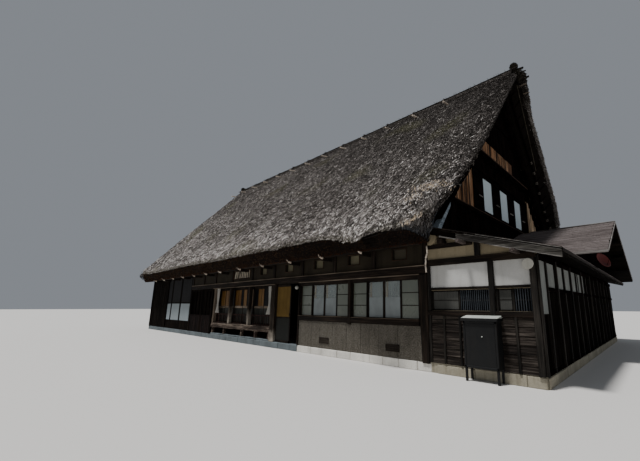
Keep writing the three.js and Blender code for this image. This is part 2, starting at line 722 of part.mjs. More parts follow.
// The origin is the middle of the footprint, on the ground
const reach = new THREE.Box3().setFromObject(house);
const middle = reach.getCenter(new THREE.Vector3());
house.position.set(-middle.x, -middle.y, -reach.min.z);
const farmhouse = new THREE.Group();
farmhouse.add(house);

export default farmhouse;
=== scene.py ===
# %% [markdown]
# # A thatched farmhouse
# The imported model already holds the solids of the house: walls, floors, doors, roof slabs. This script loads
# them as a fixed frame and dresses them, so that thatch looks like reed, boards like boards and plaster like
# plaster. Every measure below is in metres from the front corner of the main walls at the near gable, where
# X runs along the ridge, Y goes into the house and Z counts from the foot of the walls.

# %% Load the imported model
import math
import bmesh
import bpy
import numpy as np
from mathutils import Matrix, Vector, noise


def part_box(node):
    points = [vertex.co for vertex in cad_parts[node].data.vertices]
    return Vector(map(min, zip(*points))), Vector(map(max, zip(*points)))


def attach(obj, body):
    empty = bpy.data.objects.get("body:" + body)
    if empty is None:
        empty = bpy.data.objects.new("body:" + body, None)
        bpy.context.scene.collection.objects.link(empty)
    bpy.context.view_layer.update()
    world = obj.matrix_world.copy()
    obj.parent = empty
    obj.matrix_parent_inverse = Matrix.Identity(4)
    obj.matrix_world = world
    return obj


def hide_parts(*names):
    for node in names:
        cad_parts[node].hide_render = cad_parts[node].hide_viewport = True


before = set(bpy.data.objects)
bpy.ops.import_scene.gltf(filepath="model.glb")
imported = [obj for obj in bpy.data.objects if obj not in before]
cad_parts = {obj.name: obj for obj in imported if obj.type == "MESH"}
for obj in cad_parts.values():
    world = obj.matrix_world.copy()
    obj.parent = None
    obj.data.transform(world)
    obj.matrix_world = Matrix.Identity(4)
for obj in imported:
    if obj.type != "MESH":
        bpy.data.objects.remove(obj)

SEED = 1145
noise.seed_set(SEED)     # without a seed, noise_vector follows the clock and differs from run to run
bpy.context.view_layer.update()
GABLE_X = 0.1
wall_low, wall_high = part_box("front_window_wall")
CORNER = Vector((wall_high.x - GABLE_X, wall_low.y, wall_low.z))
print("nodes", len(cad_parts), "corner", tuple(round(c, 3) for c in CORNER))

# %% [markdown]
# ## Camera, floor and light
# The camera was worked out from straight edges of the house that run along X, Y and Z. A camera in Blender
# looks along its own -Z, so its matrix has the right and up directions and minus the looking direction as
# columns. The lens is short, and a small shift stands for a frame that isn't centred on the optical axis.

# %% Camera
YAW, PITCH_UP, ROLL = (math.radians(a) for a in (41.417, 11.750, 0.249))
EYE = Vector((4.696, -7.577, 1.400)) + CORNER
LENS = {"sensor_fit": "HORIZONTAL", "sensor_width": 36, "lens": 18.39, "shift_x": -0.0769, "shift_y": 0.0118,
        "clip_end": 300}


def add_object(name, data):
    """An object that is part of the scene."""
    made = bpy.data.objects.new(name, data)
    bpy.context.scene.collection.objects.link(made)
    return made


def camera_turn():
    """Rotation of a camera that is turned by YAW to the left, tipped up and rolled."""
    look = Vector((-math.sin(YAW) * math.cos(PITCH_UP), math.cos(YAW) * math.cos(PITCH_UP),
                   math.sin(PITCH_UP)))
    level = Vector((math.cos(YAW), math.sin(YAW), 0))
    above = level.cross(look)
    right = level * math.cos(ROLL) + above * math.sin(ROLL)
    up = above * math.cos(ROLL) - level * math.sin(ROLL)
    return Matrix((right, up, -look)).transposed().to_4x4()


lens = bpy.data.cameras.new("camera")
for key, value in LENS.items():
    setattr(lens, key, value)
camera = add_object("camera", lens)
camera.matrix_world = Matrix.Translation(EYE) @ camera_turn()
bpy.context.scene.camera = camera
print("eye", tuple(round(c, 2) for c in EYE))

# %% Floor and light
PAPER_TONE, PAPER_ROUGHNESS = (0.62, 0.60, 0.57, 1), 0.9
SKY_TONE, SKY_STRENGTH = (0.80, 0.86, 0.95, 1), 0.29
SUN_FROM, SUN_ENERGY, SUN_SOFTNESS = Vector((-0.12, -0.32, 0.94)), 3.9, math.radians(7)

floor_paper = bpy.data.materials.new("floor_paper")
floor_paper.use_nodes = True
paper_shader = floor_paper.node_tree.nodes["Principled BSDF"]
paper_shader.inputs["Base Color"].default_value = PAPER_TONE
paper_shader.inputs["Roughness"].default_value = PAPER_ROUGHNESS
floor_mesh = bpy.data.meshes.new("floor")
bm = bmesh.new()
bmesh.ops.create_grid(bm, x_segments=1, y_segments=1, size=150)
bm.to_mesh(floor_mesh)
bm.free()
floor_mesh.materials.append(floor_paper)
add_object("floor", floor_mesh)

lamp = bpy.data.lights.new("key", "SUN")
lamp.energy = SUN_ENERGY
lamp.angle = SUN_SOFTNESS
add_object("key", lamp).rotation_euler = SUN_FROM.to_track_quat("Z", "Y").to_euler()
world = bpy.data.worlds.new("studio")
world.use_nodes = True
sky = world.node_tree.nodes["Background"]
sky.inputs["Color"].default_value = SKY_TONE
sky.inputs["Strength"].default_value = SKY_STRENGTH
bpy.context.scene.world = world
print("sun", SUN_ENERGY, "from", tuple(round(c, 2) for c in SUN_FROM), "and sky", SKY_STRENGTH)

# %% [markdown]
# ## Helpers for shapes
# Each piece starts as an empty bmesh, gets boards, poles or sheets from bmesh operators, and is then turned
# into an object at the origin that rides on its body. The boards are cubes that are stretched by a matrix,
# and a Bevel modifier takes the sharpness off all edges of a piece at once, which is quicker than beveling
# board by board.

# %% Boards and poles
def board(bm, low, high):
    """A board between two corners."""
    low, high = Vector(low), Vector(high)
    place = Matrix.Translation((low + high) / 2) @ Matrix.Diagonal((*(high - low), 1))
    return bmesh.ops.create_cube(bm, size=1, matrix=place)["verts"]


def pole(bm, start, end, radius, tip=None, sides=10):
    """A round pole from start to end, thinner at the tip if one is given."""
    start, end = Vector(start), Vector(end)
    turn = (end - start).to_track_quat("Z", "Y").to_matrix().to_4x4()
    bmesh.ops.create_cone(bm, cap_ends=True, segments=sides, radius1=radius, radius2=radius
                          if tip is None else tip,
                          depth=(end - start).length, matrix=Matrix.Translation((start + end) / 2) @ turn)


def bent_pole(bm, route, radius, sides=8):
    """Poles from each spot of a route to the next."""
    for a, b in zip(route, route[1:]):
        pole(bm, a, b, radius, sides=sides)


def frame_within(bm, x0, x1, z0, z1, y0, y1, left, right, foot, top):
    """Four boards inside a rectangle, each with its own width."""
    board(bm, (x0, y0, z0), (x0 + left, y1, z1))
    board(bm, (x1 - right, y0, z0), (x1, y1, z1))
    board(bm, (x0, y0, z0), (x1, y1, z0 + foot))
    board(bm, (x0, y0, z1 - top), (x1, y1, z1))


def frame_round(bm, x0, x1, z0, z1, y0, y1, width):
    """Four boards round an opening."""
    frame_within(bm, x0 - width, x1 + width, z0 - width, z1 + width, y0, y1, width, width, width, width)


def split_long(bm, length, cuts):
    """Cuts edges that are longer than the given length, so that they can bend."""
    bmesh.ops.subdivide_edges(bm, edges=[e for e in bm.edges if e.calc_length() > length], cuts=cuts)


def places(start, end, step):
    """Values from start on, a step apart and below end."""
    while start < end:
        yield start
        start += step


def hewn(bm, amount, size=0.5):
    """Moves every corner a little, so that straight timber looks cut by hand."""
    for v in bm.verts:
        v.co += noise.noise_vector(v.co / size) * amount


def boards_of(corners, hew=(), split=()):
    """Boards, each given by two corners. hew goes to hewn, and split to split_long."""
    bm = bmesh.new()
    for low, high in corners:
        board(bm, low, high)
    if split:
        split_long(bm, *split)
    if hew:
        hewn(bm, *hew)
    return bm


def extruded(bm, faces):
    """Extrudes faces and returns the corners of the copy."""
    made = bmesh.ops.extrude_face_region(bm, geom=faces)["geom"]
    return [g for g in made if isinstance(g, bmesh.types.BMVert)]


# %% Finishing a piece
def add_piece(name, bm, finish, slot, body="house", stands_for=(), edge=0.0, smooth=False):
    bmesh.ops.recalc_face_normals(bm, faces=bm.faces)
    bmesh.ops.translate(bm, verts=bm.verts, vec=CORNER)
    mesh = bpy.data.meshes.new(name)
    bm.to_mesh(mesh)
    bm.free()
    mesh.materials.append(finish)
    if smooth:
        mesh.shade_smooth()
    piece = add_object(name, mesh)
    if edge:
        rounding = piece.modifiers.new("edges", "BEVEL")
        rounding.width = edge
        rounding.segments = 1
        rounding.limit_method = "ANGLE"
    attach(piece, body)
    if stands_for:
        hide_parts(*stands_for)
    print(name, len(mesh.polygons), "faces")
    return piece


def boarded(name, finish, slot, corners, hew=(), split=(), **more):
    """A piece that is made of boards."""
    add_piece(name, boards_of(corners, hew, split), finish, slot, **more)


def dress(finish, *nodes):
    """Gives CAD nodes that stay their finish."""
    for node in nodes:
        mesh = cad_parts[node].data
        mesh.materials.clear()
        mesh.materials.append(finish)
        print(node, "in", finish.name)


# %% [markdown]
# ## Helpers for finishes
# All patterns are procedural and read Object coordinates. Since every piece sits at the origin, these are the
# coordinates of the house itself, so the grain of a beam runs on over the joints of pieces. A Mapping node
# squeezes the coordinates: noise that is squeezed along one axis makes fibres along it.

# %% Start of a finish
class Finish:
    """A material with its Principled shader, and short calls for the nodes that feed it."""

    def __init__(self, name, roughness, specular):
        self.material = bpy.data.materials.new(name)
        self.material.use_nodes = True
        self.nodes = self.material.node_tree.nodes
        self.shader = self.nodes["Principled BSDF"]
        self.shader.inputs["Roughness"].default_value = roughness
        self.shader.inputs["Specular IOR Level"].default_value = specular
        self.where = self.nodes.new("ShaderNodeTexCoord").outputs["Object"]

    def make(self, kind, feeds=(), **settings):
        """A node with its settings; feeds are pairs of an input and what goes in, a value or an output."""
        node = self.nodes.new("ShaderNode" + kind)
        for key, value in settings.items():
            setattr(node, key, value)
        for into, value in feeds:
            socket = node.inputs[into]
            if hasattr(value, "links"):
                self.material.node_tree.links.new(value, socket)
            else:
                socket.default_value = (*value, 1) if socket.type == "RGBA" else value
        return node

    def place(self, scale):
        return self.make("Mapping", (("Scale", scale), ("Vector", self.where))).outputs[0]

    def noise(self, scale, detail=3.0, rough=0.55, twist=0.0):
        feeds = (("Scale", 1.0), ("Detail", detail), ("Roughness", rough), ("Distortion", twist),
                 ("Vector", self.place(scale)))
        return self.make("TexNoise", feeds).outputs["Fac"]

    def cells(self, scale, output="Distance"):
        return self.make("TexVoronoi", (("Scale", 1.0), ("Vector", self.place(scale)))).outputs[output]

    def ramp(self, factor, *stops):
        """stops are pairs of a position and a colour or a grey value."""
        node = self.make("ValToRGB", (("Fac", factor),))
        elements = node.color_ramp.elements
        while len(elements) < len(stops):
            elements.new(0.5)
        for element, (at, colour) in zip(elements, stops):
            element.position = at
            element.color = (*colour, 1) if hasattr(colour, "__len__") else (colour, colour, colour, 1)
        return node.outputs["Color"]

    def mix(self, factor, a, b, kind="MIX"):
        feeds = ((0, factor), (6, a), (7, b))
        return self.make("Mix", feeds, data_type="RGBA", blend_type=kind).outputs[2]

    def maths(self, kind, a, b=0.0):
        return self.make("Math", ((0, a), (1, b)), operation=kind).outputs[0]

    def attribute(self, name):
        return self.make("Attribute", attribute_name=name).outputs["Fac"]

    def feed_shader(self, socket, out):
        self.material.node_tree.links.new(out, self.shader.inputs[socket])

    def colour(self, out):
        self.feed_shader("Base Color", out)

    def rough(self, factor, low, high):
        feeds = (("To Min", low), ("To Max", high), ("Value", factor))
        self.feed_shader("Roughness", self.make("MapRange", feeds).outputs[0])

    def bump(self, height, depth):
        feeds = (("Distance", depth), ("Strength", 1.0), ("Height", height))
        self.feed_shader("Normal", self.make("Bump", feeds).outputs[0])


# %% [markdown]
# ## The thatch
# The roof is a coat of reed, about 65 cm thick, laid in bundles with the butt ends down the slope. From the
# ground one sees fine streaks down the slope, lit butts with dark gaps, olive moss in patches, and a ragged
# lip. One way is a bumpy material alone, but its outline would be as straight as a ruler. Here the coat is a
# slab with a slightly wavy face, and thousands of small sticks lie on it. A stick is a three-sided cone with
# its point buried up the slope: four triangles each, so tens of thousands can be afforded.

# %% Roof numbers
PITCH = 1.14
RIDGE_Y = 6.4
LIP_Y, LIP_Z = -1.1, 3.3
FOOT_Y, FOOT_Z = -0.5, 3.0
NEAR_EDGE, FAR_EDGE = 1.3, -23.68
MIDDLE_X = (NEAR_EDGE + FAR_EDGE) / 2
EDGE_PLAN = ((-1.3, -1.1), (-0.9, -1.06), (-0.1, -1.03), (0.14, -0.97), (0.31, -0.8), (0.44, -0.5),
             (0.56, -0.3), (0.7, -0.1), (0.8, 0.1), (0.87, 0.5), (1.0, 1.1), (1.1, 1.9), (1.13, 2.8),
             (1.14, 4.8), (1.17, 6.2))
THICKNESS = LIP_Z - FOOT_Z + PITCH * (FOOT_Y - LIP_Y)
VERGE_THICKNESS, VERGE_RUN = 0.34, 0.6
LIP_WEAR = ((-3.3, 0.24), (-2.9, 0.20), (-2.4, 0.11), (-1.86, -0.02), (-1.42, -0.11), (-1.27, -0.10),
            (-1.2, 0.05), (-0.3, 0.06), (0.3, 0.04))
RIDGE_Z = LIP_Z + PITCH * (RIDGE_Y - LIP_Y)
SLOPE = math.atan(PITCH)
LEAN_HIGH, LEAN_FALL = 3.49, 0.291

# %% Shape of the roof
def from_table(value, pairs, known=0):
    """Interpolates in a table of pairs; known says which half of a pair the value is."""
    halves = list(zip(*pairs))
    return np.interp(value, halves[known], halves[1 - known])


def half_length(y):
    """Half the length of the roof at a depth y: its corners are rounded and its verges drawn in a little."""
    return from_table(y, EDGE_PLAN, 1) - MIDDLE_X


def wear(x):
    """How far the lip is worn back, or hangs forward where the value is negative."""
    return from_table(x, LIP_WEAR)


def worn(x, y):
    """Depth y of a spot of the slope once the lip is worn."""
    return y + wear(x) * np.clip(1 - (np.asarray(y) - LIP_Y) / 0.5, 0, 1)


def to_verge(x, y):
    """Distance to the nearer verge, which also tells how wild the sticks lie."""
    return half_length(y) - np.abs(np.asarray(x) - MIDDLE_X)


def swell(x, y):
    """How far the worn face of the thatch stands above the straight slope; it rolls down at the verges."""
    broad = noise.noise(Vector((x * 0.33, y * 0.4, 2.0))) * 0.05
    rolled = -0.18 * float(np.clip(1 - to_verge(x, y) / 0.35, 0, 1.1)) ** 2 * float(np.clip((y + 0.75) / 0.4,
                                                                                            0, 1))
    return broad + noise.noise(Vector((x * 1.3, y * 0.9, 7.0))) * 0.025 + rolled


def plane_z(y):
    return LIP_Z + PITCH * (y - LIP_Y)


def face_z(x, y):
    return plane_z(y) + swell(x, y)


def edge_thickness(y):
    """Thickness at the verge: whole at the corner, and soon thin above it."""
    return np.interp(y, (-0.5, -0.22), (THICKNESS, VERGE_THICKNESS))


def under_z(x, y):
    """Underside: the cut face below the lip, then the slope inside; the thatch thins out at the verges."""
    lip = LIP_Y + wear(x)
    cut = (plane_z(lip) - 0.02 - FOOT_Z) / (lip - FOOT_Y)
    level = FOOT_Z + np.where(np.less(y, FOOT_Y), cut, PITCH) * (y - FOOT_Y)
    inside = np.clip(to_verge(x, y) / VERGE_RUN, 0, 1)
    return np.maximum(level, plane_z(y) - edge_thickness(y) * (1 - inside) - THICKNESS * inside)


print("ridge at", round(RIDGE_Z, 2), "roof length at the lip", round(2 * float(half_length(LIP_Y)), 2))

# %% Finishes of the thatch
def thatch_finish(name, tint, stops=None):
    """Reed by a stick's own shade, mixed towards a second colour where its tint value is high: moss, rust,
    fresh straw, and a blue grey for painted shade.
    """
    f = Finish(name, 0.95, 0.12)
    fine = f.noise((70, 70, 70), 2)
    tone = f.maths("ADD", f.attribute("shade"), f.maths("MULTIPLY", f.maths("SUBTRACT", fine, 0.5), 0.35))
    f.colour(f.mix(f.attribute("tint"), f.ramp(tone, *(stops or REED_STOPS)), tint))
    f.bump(fine, 0.004)
    return f.material


REED_STOPS = ((0.0, (0.010, 0.008, 0.007)), (0.35, (0.050, 0.043, 0.038)), (0.6, (0.165, 0.147, 0.135)),
              (0.8, (0.38, 0.345, 0.32)), (1.0, (0.72, 0.68, 0.64)))
CUT_STOPS = ((0.0, (0.004, 0.0025, 0.0015)), (0.45, (0.034, 0.018, 0.009)), (1.0, (0.17, 0.095, 0.05)))
# The last of these colours is a blue grey for painted shade on the lower faces of the corners.
MOSS, STRAW, RUST, PAINTED_SHADE_BLUE = (0.10, 0.10, 0.035), (0.55, 0.42, 0.27), (0.09, 0.03, 0.011), (0.055, 0.07, 0.085)
reed = thatch_finish("reed", MOSS)
reed_butts = thatch_finish("reed_butts", RUST, CUT_STOPS)
reed_fresh = thatch_finish("reed_fresh", STRAW)
reed_painted_shade = thatch_finish("reed_painted_shade", PAINTED_SHADE_BLUE)


def coat_finish():
    """The slab under the sticks: butts as small cells of their own tone with dark gaps between them, and an
    underside painted near black as shade.
    """
    f = Finish("thatch_coat", 0.95, 0.1)
    gaps = f.cells((30, 26, 30))
    tones = f.maths("MULTIPLY", f.cells((30, 26, 30), "Color"), f.maths("SUBTRACT", 1.1, gaps))
    face = f.ramp(tones, (0.12, (0.008, 0.006, 0.005)), (0.35, (0.05, 0.043, 0.038)),
                  (0.7, (0.22, 0.198, 0.18)))
    # Where the below attribute is 1, on the underside, the coat is painted near black: painted shade under the
    # thatch.
    f.colour(f.mix(f.attribute("below"), face, (0.006, 0.004, 0.003)))
    f.bump(gaps, -0.03)
    return f.material


thatch_coat = coat_finish()
print("finishes of the thatch", [m.name for m in bpy.data.materials if m.name.startswith(("reed", "thatch"))])

# %% The slab
def to_back(bm):
    """Mirrors what is made for the front at the ridge, and keeps the mirror image."""
    bmesh.ops.mirror(bm, geom=bm.verts[:] + bm.edges[:] + bm.faces[:], axis="Y",
                     matrix=Matrix.Translation((0, -RIDGE_Y, 0)), merge_dist=-1)
    bmesh.ops.delete(bm, geom=[v for v in bm.verts if v.co.y < RIDGE_Y], context="VERTS")


def thatch_slab(name, back, stands_for):
    bm = bmesh.new()
    below = bm.verts.layers.float.new("below")
    bmesh.ops.create_grid(bm, x_segments=125, y_segments=44, size=0.5)
    spots = {v: (v.co.x * 2, LIP_Y + (RIDGE_Y - 0.001 - LIP_Y) * (v.co.y + 0.5) ** 1.5) for v in bm.verts}
    for v, (across, y) in spots.items():
        x = MIDDLE_X + across * float(half_length(y))
        y = float(worn(x, y))
        v.co = (x, y, face_z(x, y) - 0.03)
    under = set(extruded(bm, bm.faces[:]))
    for v in under:
        v.co.z = min(float(under_z(v.co.x, v.co.y)), v.co.z - 0.02)
        v[below] = 1
    rim = [e for e in bm.edges if len(under.intersection(e.verts)) == 1]
    bmesh.ops.subdivide_edges(bm, edges=rim, cuts=3, use_grid_fill=True)
    for v in bm.verts:
        if v.co.y < RIDGE_Y - 0.1:
            v.co += noise.noise_vector(v.co * 2.3) * 0.02
        if not back and v.co.x > 0.08 and v.co.y > -0.26:
            v.co.z = max(v.co.z, LEAN_HIGH - LEAN_FALL * (v.co.x - 0.1) + 0.01)
    if back:
        to_back(bm)
    add_piece(name, bm, thatch_coat, "thatch", stands_for=stands_for)


thatch_slab("thatch_coat_front", False, ["thatch_front"])
thatch_slab("thatch_coat_back", True, ["thatch_back"])

# %% [markdown]
# ## Laying sticks
# Python would be slow if it copied a hundred thousand cones one by one. Instead each batch is a cloud of loose
# points, and every point carries the turn, size and shade of its stick as attributes. A small geometry-nodes
# group puts a copy of the cone on each point, and the result is kept as a plain mesh.

# %% One stick
bm = bmesh.new()
bmesh.ops.create_cone(bm, cap_ends=True, segments=3, radius1=0.5, radius2=0, depth=1,
                      matrix=Matrix.Translation((-0.5, 0, 0)) @ Matrix.Rotation(math.radians(-90), 4, "Y"))
stick_mesh = bpy.data.meshes.new("stick")
bmesh.ops.recalc_face_normals(bm, faces=bm.faces)
print("a stick has", len(bm.faces), "faces, and its butt lies at x =", max(v.co.x for v in bm.verts))
bm.to_mesh(stick_mesh)
bm.free()
stick = bpy.data.objects.new("stick", stick_mesh)

# %% A group that puts a stick on each point
def laying_group():
    group = bpy.data.node_groups.new("lay_sticks", "GeometryNodeTree")
    for direction in ("INPUT", "OUTPUT"):
        group.interface.new_socket("Geometry", in_out=direction, socket_type="NodeSocketGeometry")
    make = group.nodes.new
    start, end = make("NodeGroupInput"), make("NodeGroupOutput")
    copy, real = make("GeometryNodeInstanceOnPoints"), make("GeometryNodeRealizeInstances")
    shape, turning = make("GeometryNodeObjectInfo"), make("FunctionNodeEulerToRotation")
    shape.inputs["Object"].default_value = stick
    values = {}
    for name in ("turn", "size"):
        values[name] = make("GeometryNodeInputNamedAttribute")
        values[name].data_type = "FLOAT_VECTOR"
        values[name].inputs["Name"].default_value = name
    for out, into in ((start.outputs[0], copy.inputs["Points"]),
                      (shape.outputs["Geometry"], copy.inputs["Instance"]),
                      (values["turn"].outputs["Attribute"], turning.inputs[0]),
                      (turning.outputs[0], copy.inputs["Rotation"]),
                      (values["size"].outputs["Attribute"], copy.inputs["Scale"]),
                      (copy.outputs[0], real.inputs[0]), (real.outputs[0], end.inputs[0])):
        group.links.new(out, into)
    return group


lay_sticks = laying_group()

# %% From points to sticks
def turns(aims, ups):
    """Euler angles of sticks whose X points along aims and whose Z leans to ups."""
    x = aims / np.linalg.norm(aims, axis=1, keepdims=True)
    y = np.cross(ups, x)
    y /= np.linalg.norm(y, axis=1, keepdims=True)
    z = np.cross(x, y)
    return np.stack((np.arctan2(y[:, 2], z[:, 2]), -np.arcsin(np.clip(x[:, 2], -1, 1)),
                     np.arctan2(x[:, 1], x[:, 0])), axis=1)


def lay(name, spots, aims, ups, sizes, shades, tint, finish, stands_for=()):
    """A piece made of one stick on each spot."""
    cloud = bpy.data.meshes.new(name)
    cloud.vertices.add(len(spots))
    cloud.vertices.foreach_set("co", (spots + np.array(CORNER)).astype(np.float32).ravel())
    for key, kind, values in (("turn", "FLOAT_VECTOR", turns(aims, ups)), ("size", "FLOAT_VECTOR", sizes),
                              ("shade", "FLOAT", shades), ("tint", "FLOAT", tint)):
        data = cloud.attributes.new(key, kind, "POINT").data
        data.foreach_set("vector" if kind == "FLOAT_VECTOR" else "value", values.astype(np.float32).ravel())
    piece = add_object(name, cloud)
    piece.modifiers.new("lay", "NODES").node_group = lay_sticks
    seen = piece.evaluated_get(bpy.context.evaluated_depsgraph_get())
    mesh = bpy.data.meshes.new_from_object(seen)
    piece.modifiers.clear()
    piece.data = mesh
    bpy.data.meshes.remove(cloud)
    mesh.name = name
    for key in ("turn", "size"):
        mesh.attributes.remove(mesh.attributes[key])
    mesh.materials.clear()
    mesh.materials.append(finish)
    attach(piece, "house")
    if stands_for:
        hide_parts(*stands_for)
    print(name, len(spots), "sticks")


# %% Sticks on the slopes
dice = np.random.default_rng(SEED)
DOWN = np.array((0, -math.cos(SLOPE), -math.sin(SLOPE)))
OUT = np.array((0, -math.sin(SLOPE), math.cos(SLOPE)))


def patches(x, y, size, seed):
    """Smooth random values between about -1 and 1, one per spot."""
    return np.array([noise.noise(Vector((a / size, b / size, seed))) for a, b in zip(x, y)]) * 1.6


def columns(*values):
    return np.stack(np.broadcast_arrays(*values), axis=1)


def stick_sizes(count, *ranges):
    """Random lengths, widths and thicknesses, each between two limits."""
    return columns(*(dice.uniform(*limits, count) for limits in ranges))


def lifts(x, y):
    return np.array([swell(a, b) for a, b in zip(x, y)])


def thatch_batch(name, spots, aims, sizes, shades, tint, back, finish=reed):
    """Lays a batch of sticks whose flat side faces away from the roof, mirrored for the back slope."""
    ups = np.tile(OUT, (len(spots), 1))
    if back:
        spots[:, 1] = 2 * RIDGE_Y - spots[:, 1]
        aims[:, 1] *= -1
        ups = ups * (1, -1, 1)
    lay(name, spots, aims, ups, sizes, np.clip(shades, 0, 1), tint, finish)


def slope_sticks(name, x_range, per_m2, coarse, back=False):
    run = RIDGE_Y - 0.3 - LIP_Y
    count = int((x_range[1] - x_range[0]) * run / math.cos(SLOPE) * per_m2)
    y = LIP_Y + run * dice.random(count)
    x = dice.uniform(*x_range, count)
    keep = to_verge(x, y) > -0.02
    x, y = x[keep], y[keep]
    count = len(x)
    wild = np.clip(1 - to_verge(x, y) / 1.3, 0, 1)
    low = np.clip(1 - (y - LIP_Y) / 1.5, 0, 1)
    lift = lifts(x, y)
    y = worn(x, y)
    rise = dice.uniform(-0.015, 0.045, count) + 0.03 * (wild + low) * dice.random(count)
    spots = columns(x, y, plane_z(y) + lift) + OUT * rise[:, None]
    loose = 0.3 if back else 1
    tip = dice.uniform(0.02, 0.26, count) + loose * (0.14 * wild + 0.07 * low) * dice.normal(0, 1, count)
    aims = DOWN + OUT * tip[:, None]
    aims[:, 0] += dice.normal(0, 0.3 + 0.45 * wild) + 0.3 * wild * np.sign(x - MIDDLE_X)
    sizes = stick_sizes(count, (0.09, 0.25), (0.018, 0.044), (0.014, 0.028))
    sizes = sizes * (coarse * (1 + 0.3 * low))[:, None]
    clump = patches(x * 3.2, y, 1.2, 3.0)
    broad = patches(x, y, 3.5, 8.0)
    tall = np.clip((y - LIP_Y) / (RIDGE_Y - LIP_Y), 0, 1)
    nearer = np.clip((x + 13) / 11, 0, 1)
    shades = 0.54 + 0.09 * clump + 0.05 * broad + dice.normal(0, 0.26 - 0.05 * tall + 0.06 * wild)
    shades += (0.02 + 0.07 * np.clip((x + 5) / 4, 0, 1)) * low - 0.09 * wild + 0.05 * (1 - nearer)
    shades += 0.07 * patches(x * 5, y * 3, 1.2, 5.0) - (0.24 + 0.16 * nearer) * tall
    tint = np.clip(patches(x, y * 1.5, 2.2, 11.0) * 1.5 - 0.55 + 0.35 * low - 0.5 * wild, 0, 1)
    thatch_batch(name, spots, aims, sizes, shades, tint * dice.random(count) * 0.7, back)


slope_sticks("reeds_front_near", (-5.6, NEAR_EDGE), 610, 0.85)
slope_sticks("reeds_front_middle", (-14.0, -5.6), 425, 0.95)
slope_sticks("reeds_front_far", (FAR_EDGE, -14.0), 325, 1.05)
slope_sticks("reeds_back", (FAR_EDGE, NEAR_EDGE), 110, 1.4, back=True)

# %% Ragged lip of the eave
CORNER_X = 0.45


def lip_y(x):
    """Depth of the lip, which draws back at the rounded corners."""
    return from_table(np.abs(x - MIDDLE_X) + MIDDLE_X, EDGE_PLAN)


def lip_sticks(name, back):
    count = 2500 if back else 7000
    x = MIDDLE_X + dice.uniform(-1, 1, count) * (CORNER_X - MIDDLE_X)
    y = lip_y(x) + np.abs(dice.normal(0, 0.06, count))
    lift = lifts(x, y)
    y = worn(x, y)
    spots = columns(x, y, plane_z(y) + lift + dice.uniform(-0.09, 0.03, count))
    hang = np.clip(patches(x, x * 0, 0.8, 5.0), 0, 1)
    length = dice.uniform(0.03, 0.11, count) + 0.10 * hang * dice.random(count)
    aims = columns(dice.normal(0, 0.25, count), -0.55 + dice.normal(0, 0.18, count), -0.8)
    spots += aims * length[:, None] * 0.6
    sizes = columns(length + 0.18, dice.uniform(0.016, 0.032, count), dice.uniform(0.012, 0.02, count))
    shades = dice.normal(0.54, 0.2, count) + 0.1 * np.clip((x + 5) / 4, 0, 1)
    thatch_batch(name, spots, aims, sizes, shades, 0.3 * dice.random(count), back)

# %% Cut face of the eave
def butt_sticks(name, back):
    """Cut ends on the slanted face below the lip."""
    count = 4000 if back else 15000
    x = MIDDLE_X + dice.uniform(-1, 1, count) * (CORNER_X - MIDDLE_X)
    down = dice.random(count)
    lip = worn(x, lip_y(x))
    y = lip + (FOOT_Y - lip) * down
    z = under_z(x, y)
    aims = DOWN + columns(dice.normal(0, 0.15, count), dice.normal(0, 0.1, count), 0)
    spots = columns(x, y, z) + DOWN * dice.uniform(-0.01, 0.035, count)[:, None]
    sizes = stick_sizes(count, (0.08, 0.12), (0.016, 0.03), (0.014, 0.024))
    # The last term darkens the near end of the cut face: painted shade, as the far end gets more light from the
    # ground.
    shades = dice.normal(0.4, 0.2, count) + 0.1 * (1 - down) - 0.3 * np.clip((x + 7) / 6, 0, 1)
    rust = np.clip((down - 0.72) * 3, 0, 1) * dice.random(count)
    thatch_batch(name, spots, aims, sizes, shades, rust, back, reed_butts)

# %% Butts at the verges
BACK_VERGE = ((0.9, 0.11), (1.3, 0.14), (3.2, 0.10), (3.8, 0.12), (4.4, 0.10), (5.0, 0.10), (6.2, 0.28))


def verge_sticks(name, end, back):
    """Butts that stick out past the verge and down its thin edge; end is 1 near and -1 far."""
    count = (9000 if back else 4200) if end > 0 else 2000
    y = FOOT_Y + 0.25 + (RIDGE_Y - FOOT_Y - 0.35) * dice.random(count) ** (1.1 if back else 1.6)
    deep = dice.random(count)
    z = plane_z(y) - 0.12 - (edge_thickness(y) - 0.1) * deep
    if end > 0 and not back:
        z = np.where(y > -0.3, np.maximum(z, LEAN_HIGH + 0.03), z)
    out = 0.1 * deep - 0.12
    if end > 0 and back:
        out = from_table(y, BACK_VERGE) - 0.2 * deep
    spots = columns(MIDDLE_X + end * (half_length(y) + out), y, z)
    reach = dice.uniform(0.02, 0.16 if back else 0.09, count)
    aims = columns(end * dice.uniform(0.2, 0.9, count), dice.normal(-0.45, 0.25, count),
                   -0.75 + dice.normal(0, 0.25, count))
    spots += aims * reach[:, None] * 0.5
    sizes = columns(reach + dice.uniform(0.15, 0.3, count), dice.uniform(0.016, 0.032, count),
                    dice.uniform(0.012, 0.022, count))
    tall = 0 if back else ((y - LIP_Y) / (RIDGE_Y - LIP_Y)) ** 1.5
    shades = dice.normal(0.6 if back else 0.55, 0.22, count) - 0.15 * deep - 0.3 * tall
    shades -= 0.4 * np.clip(y - 5.2, 0, 1)
    thatch_batch(name, spots, aims, sizes, shades, 0 * y, back)

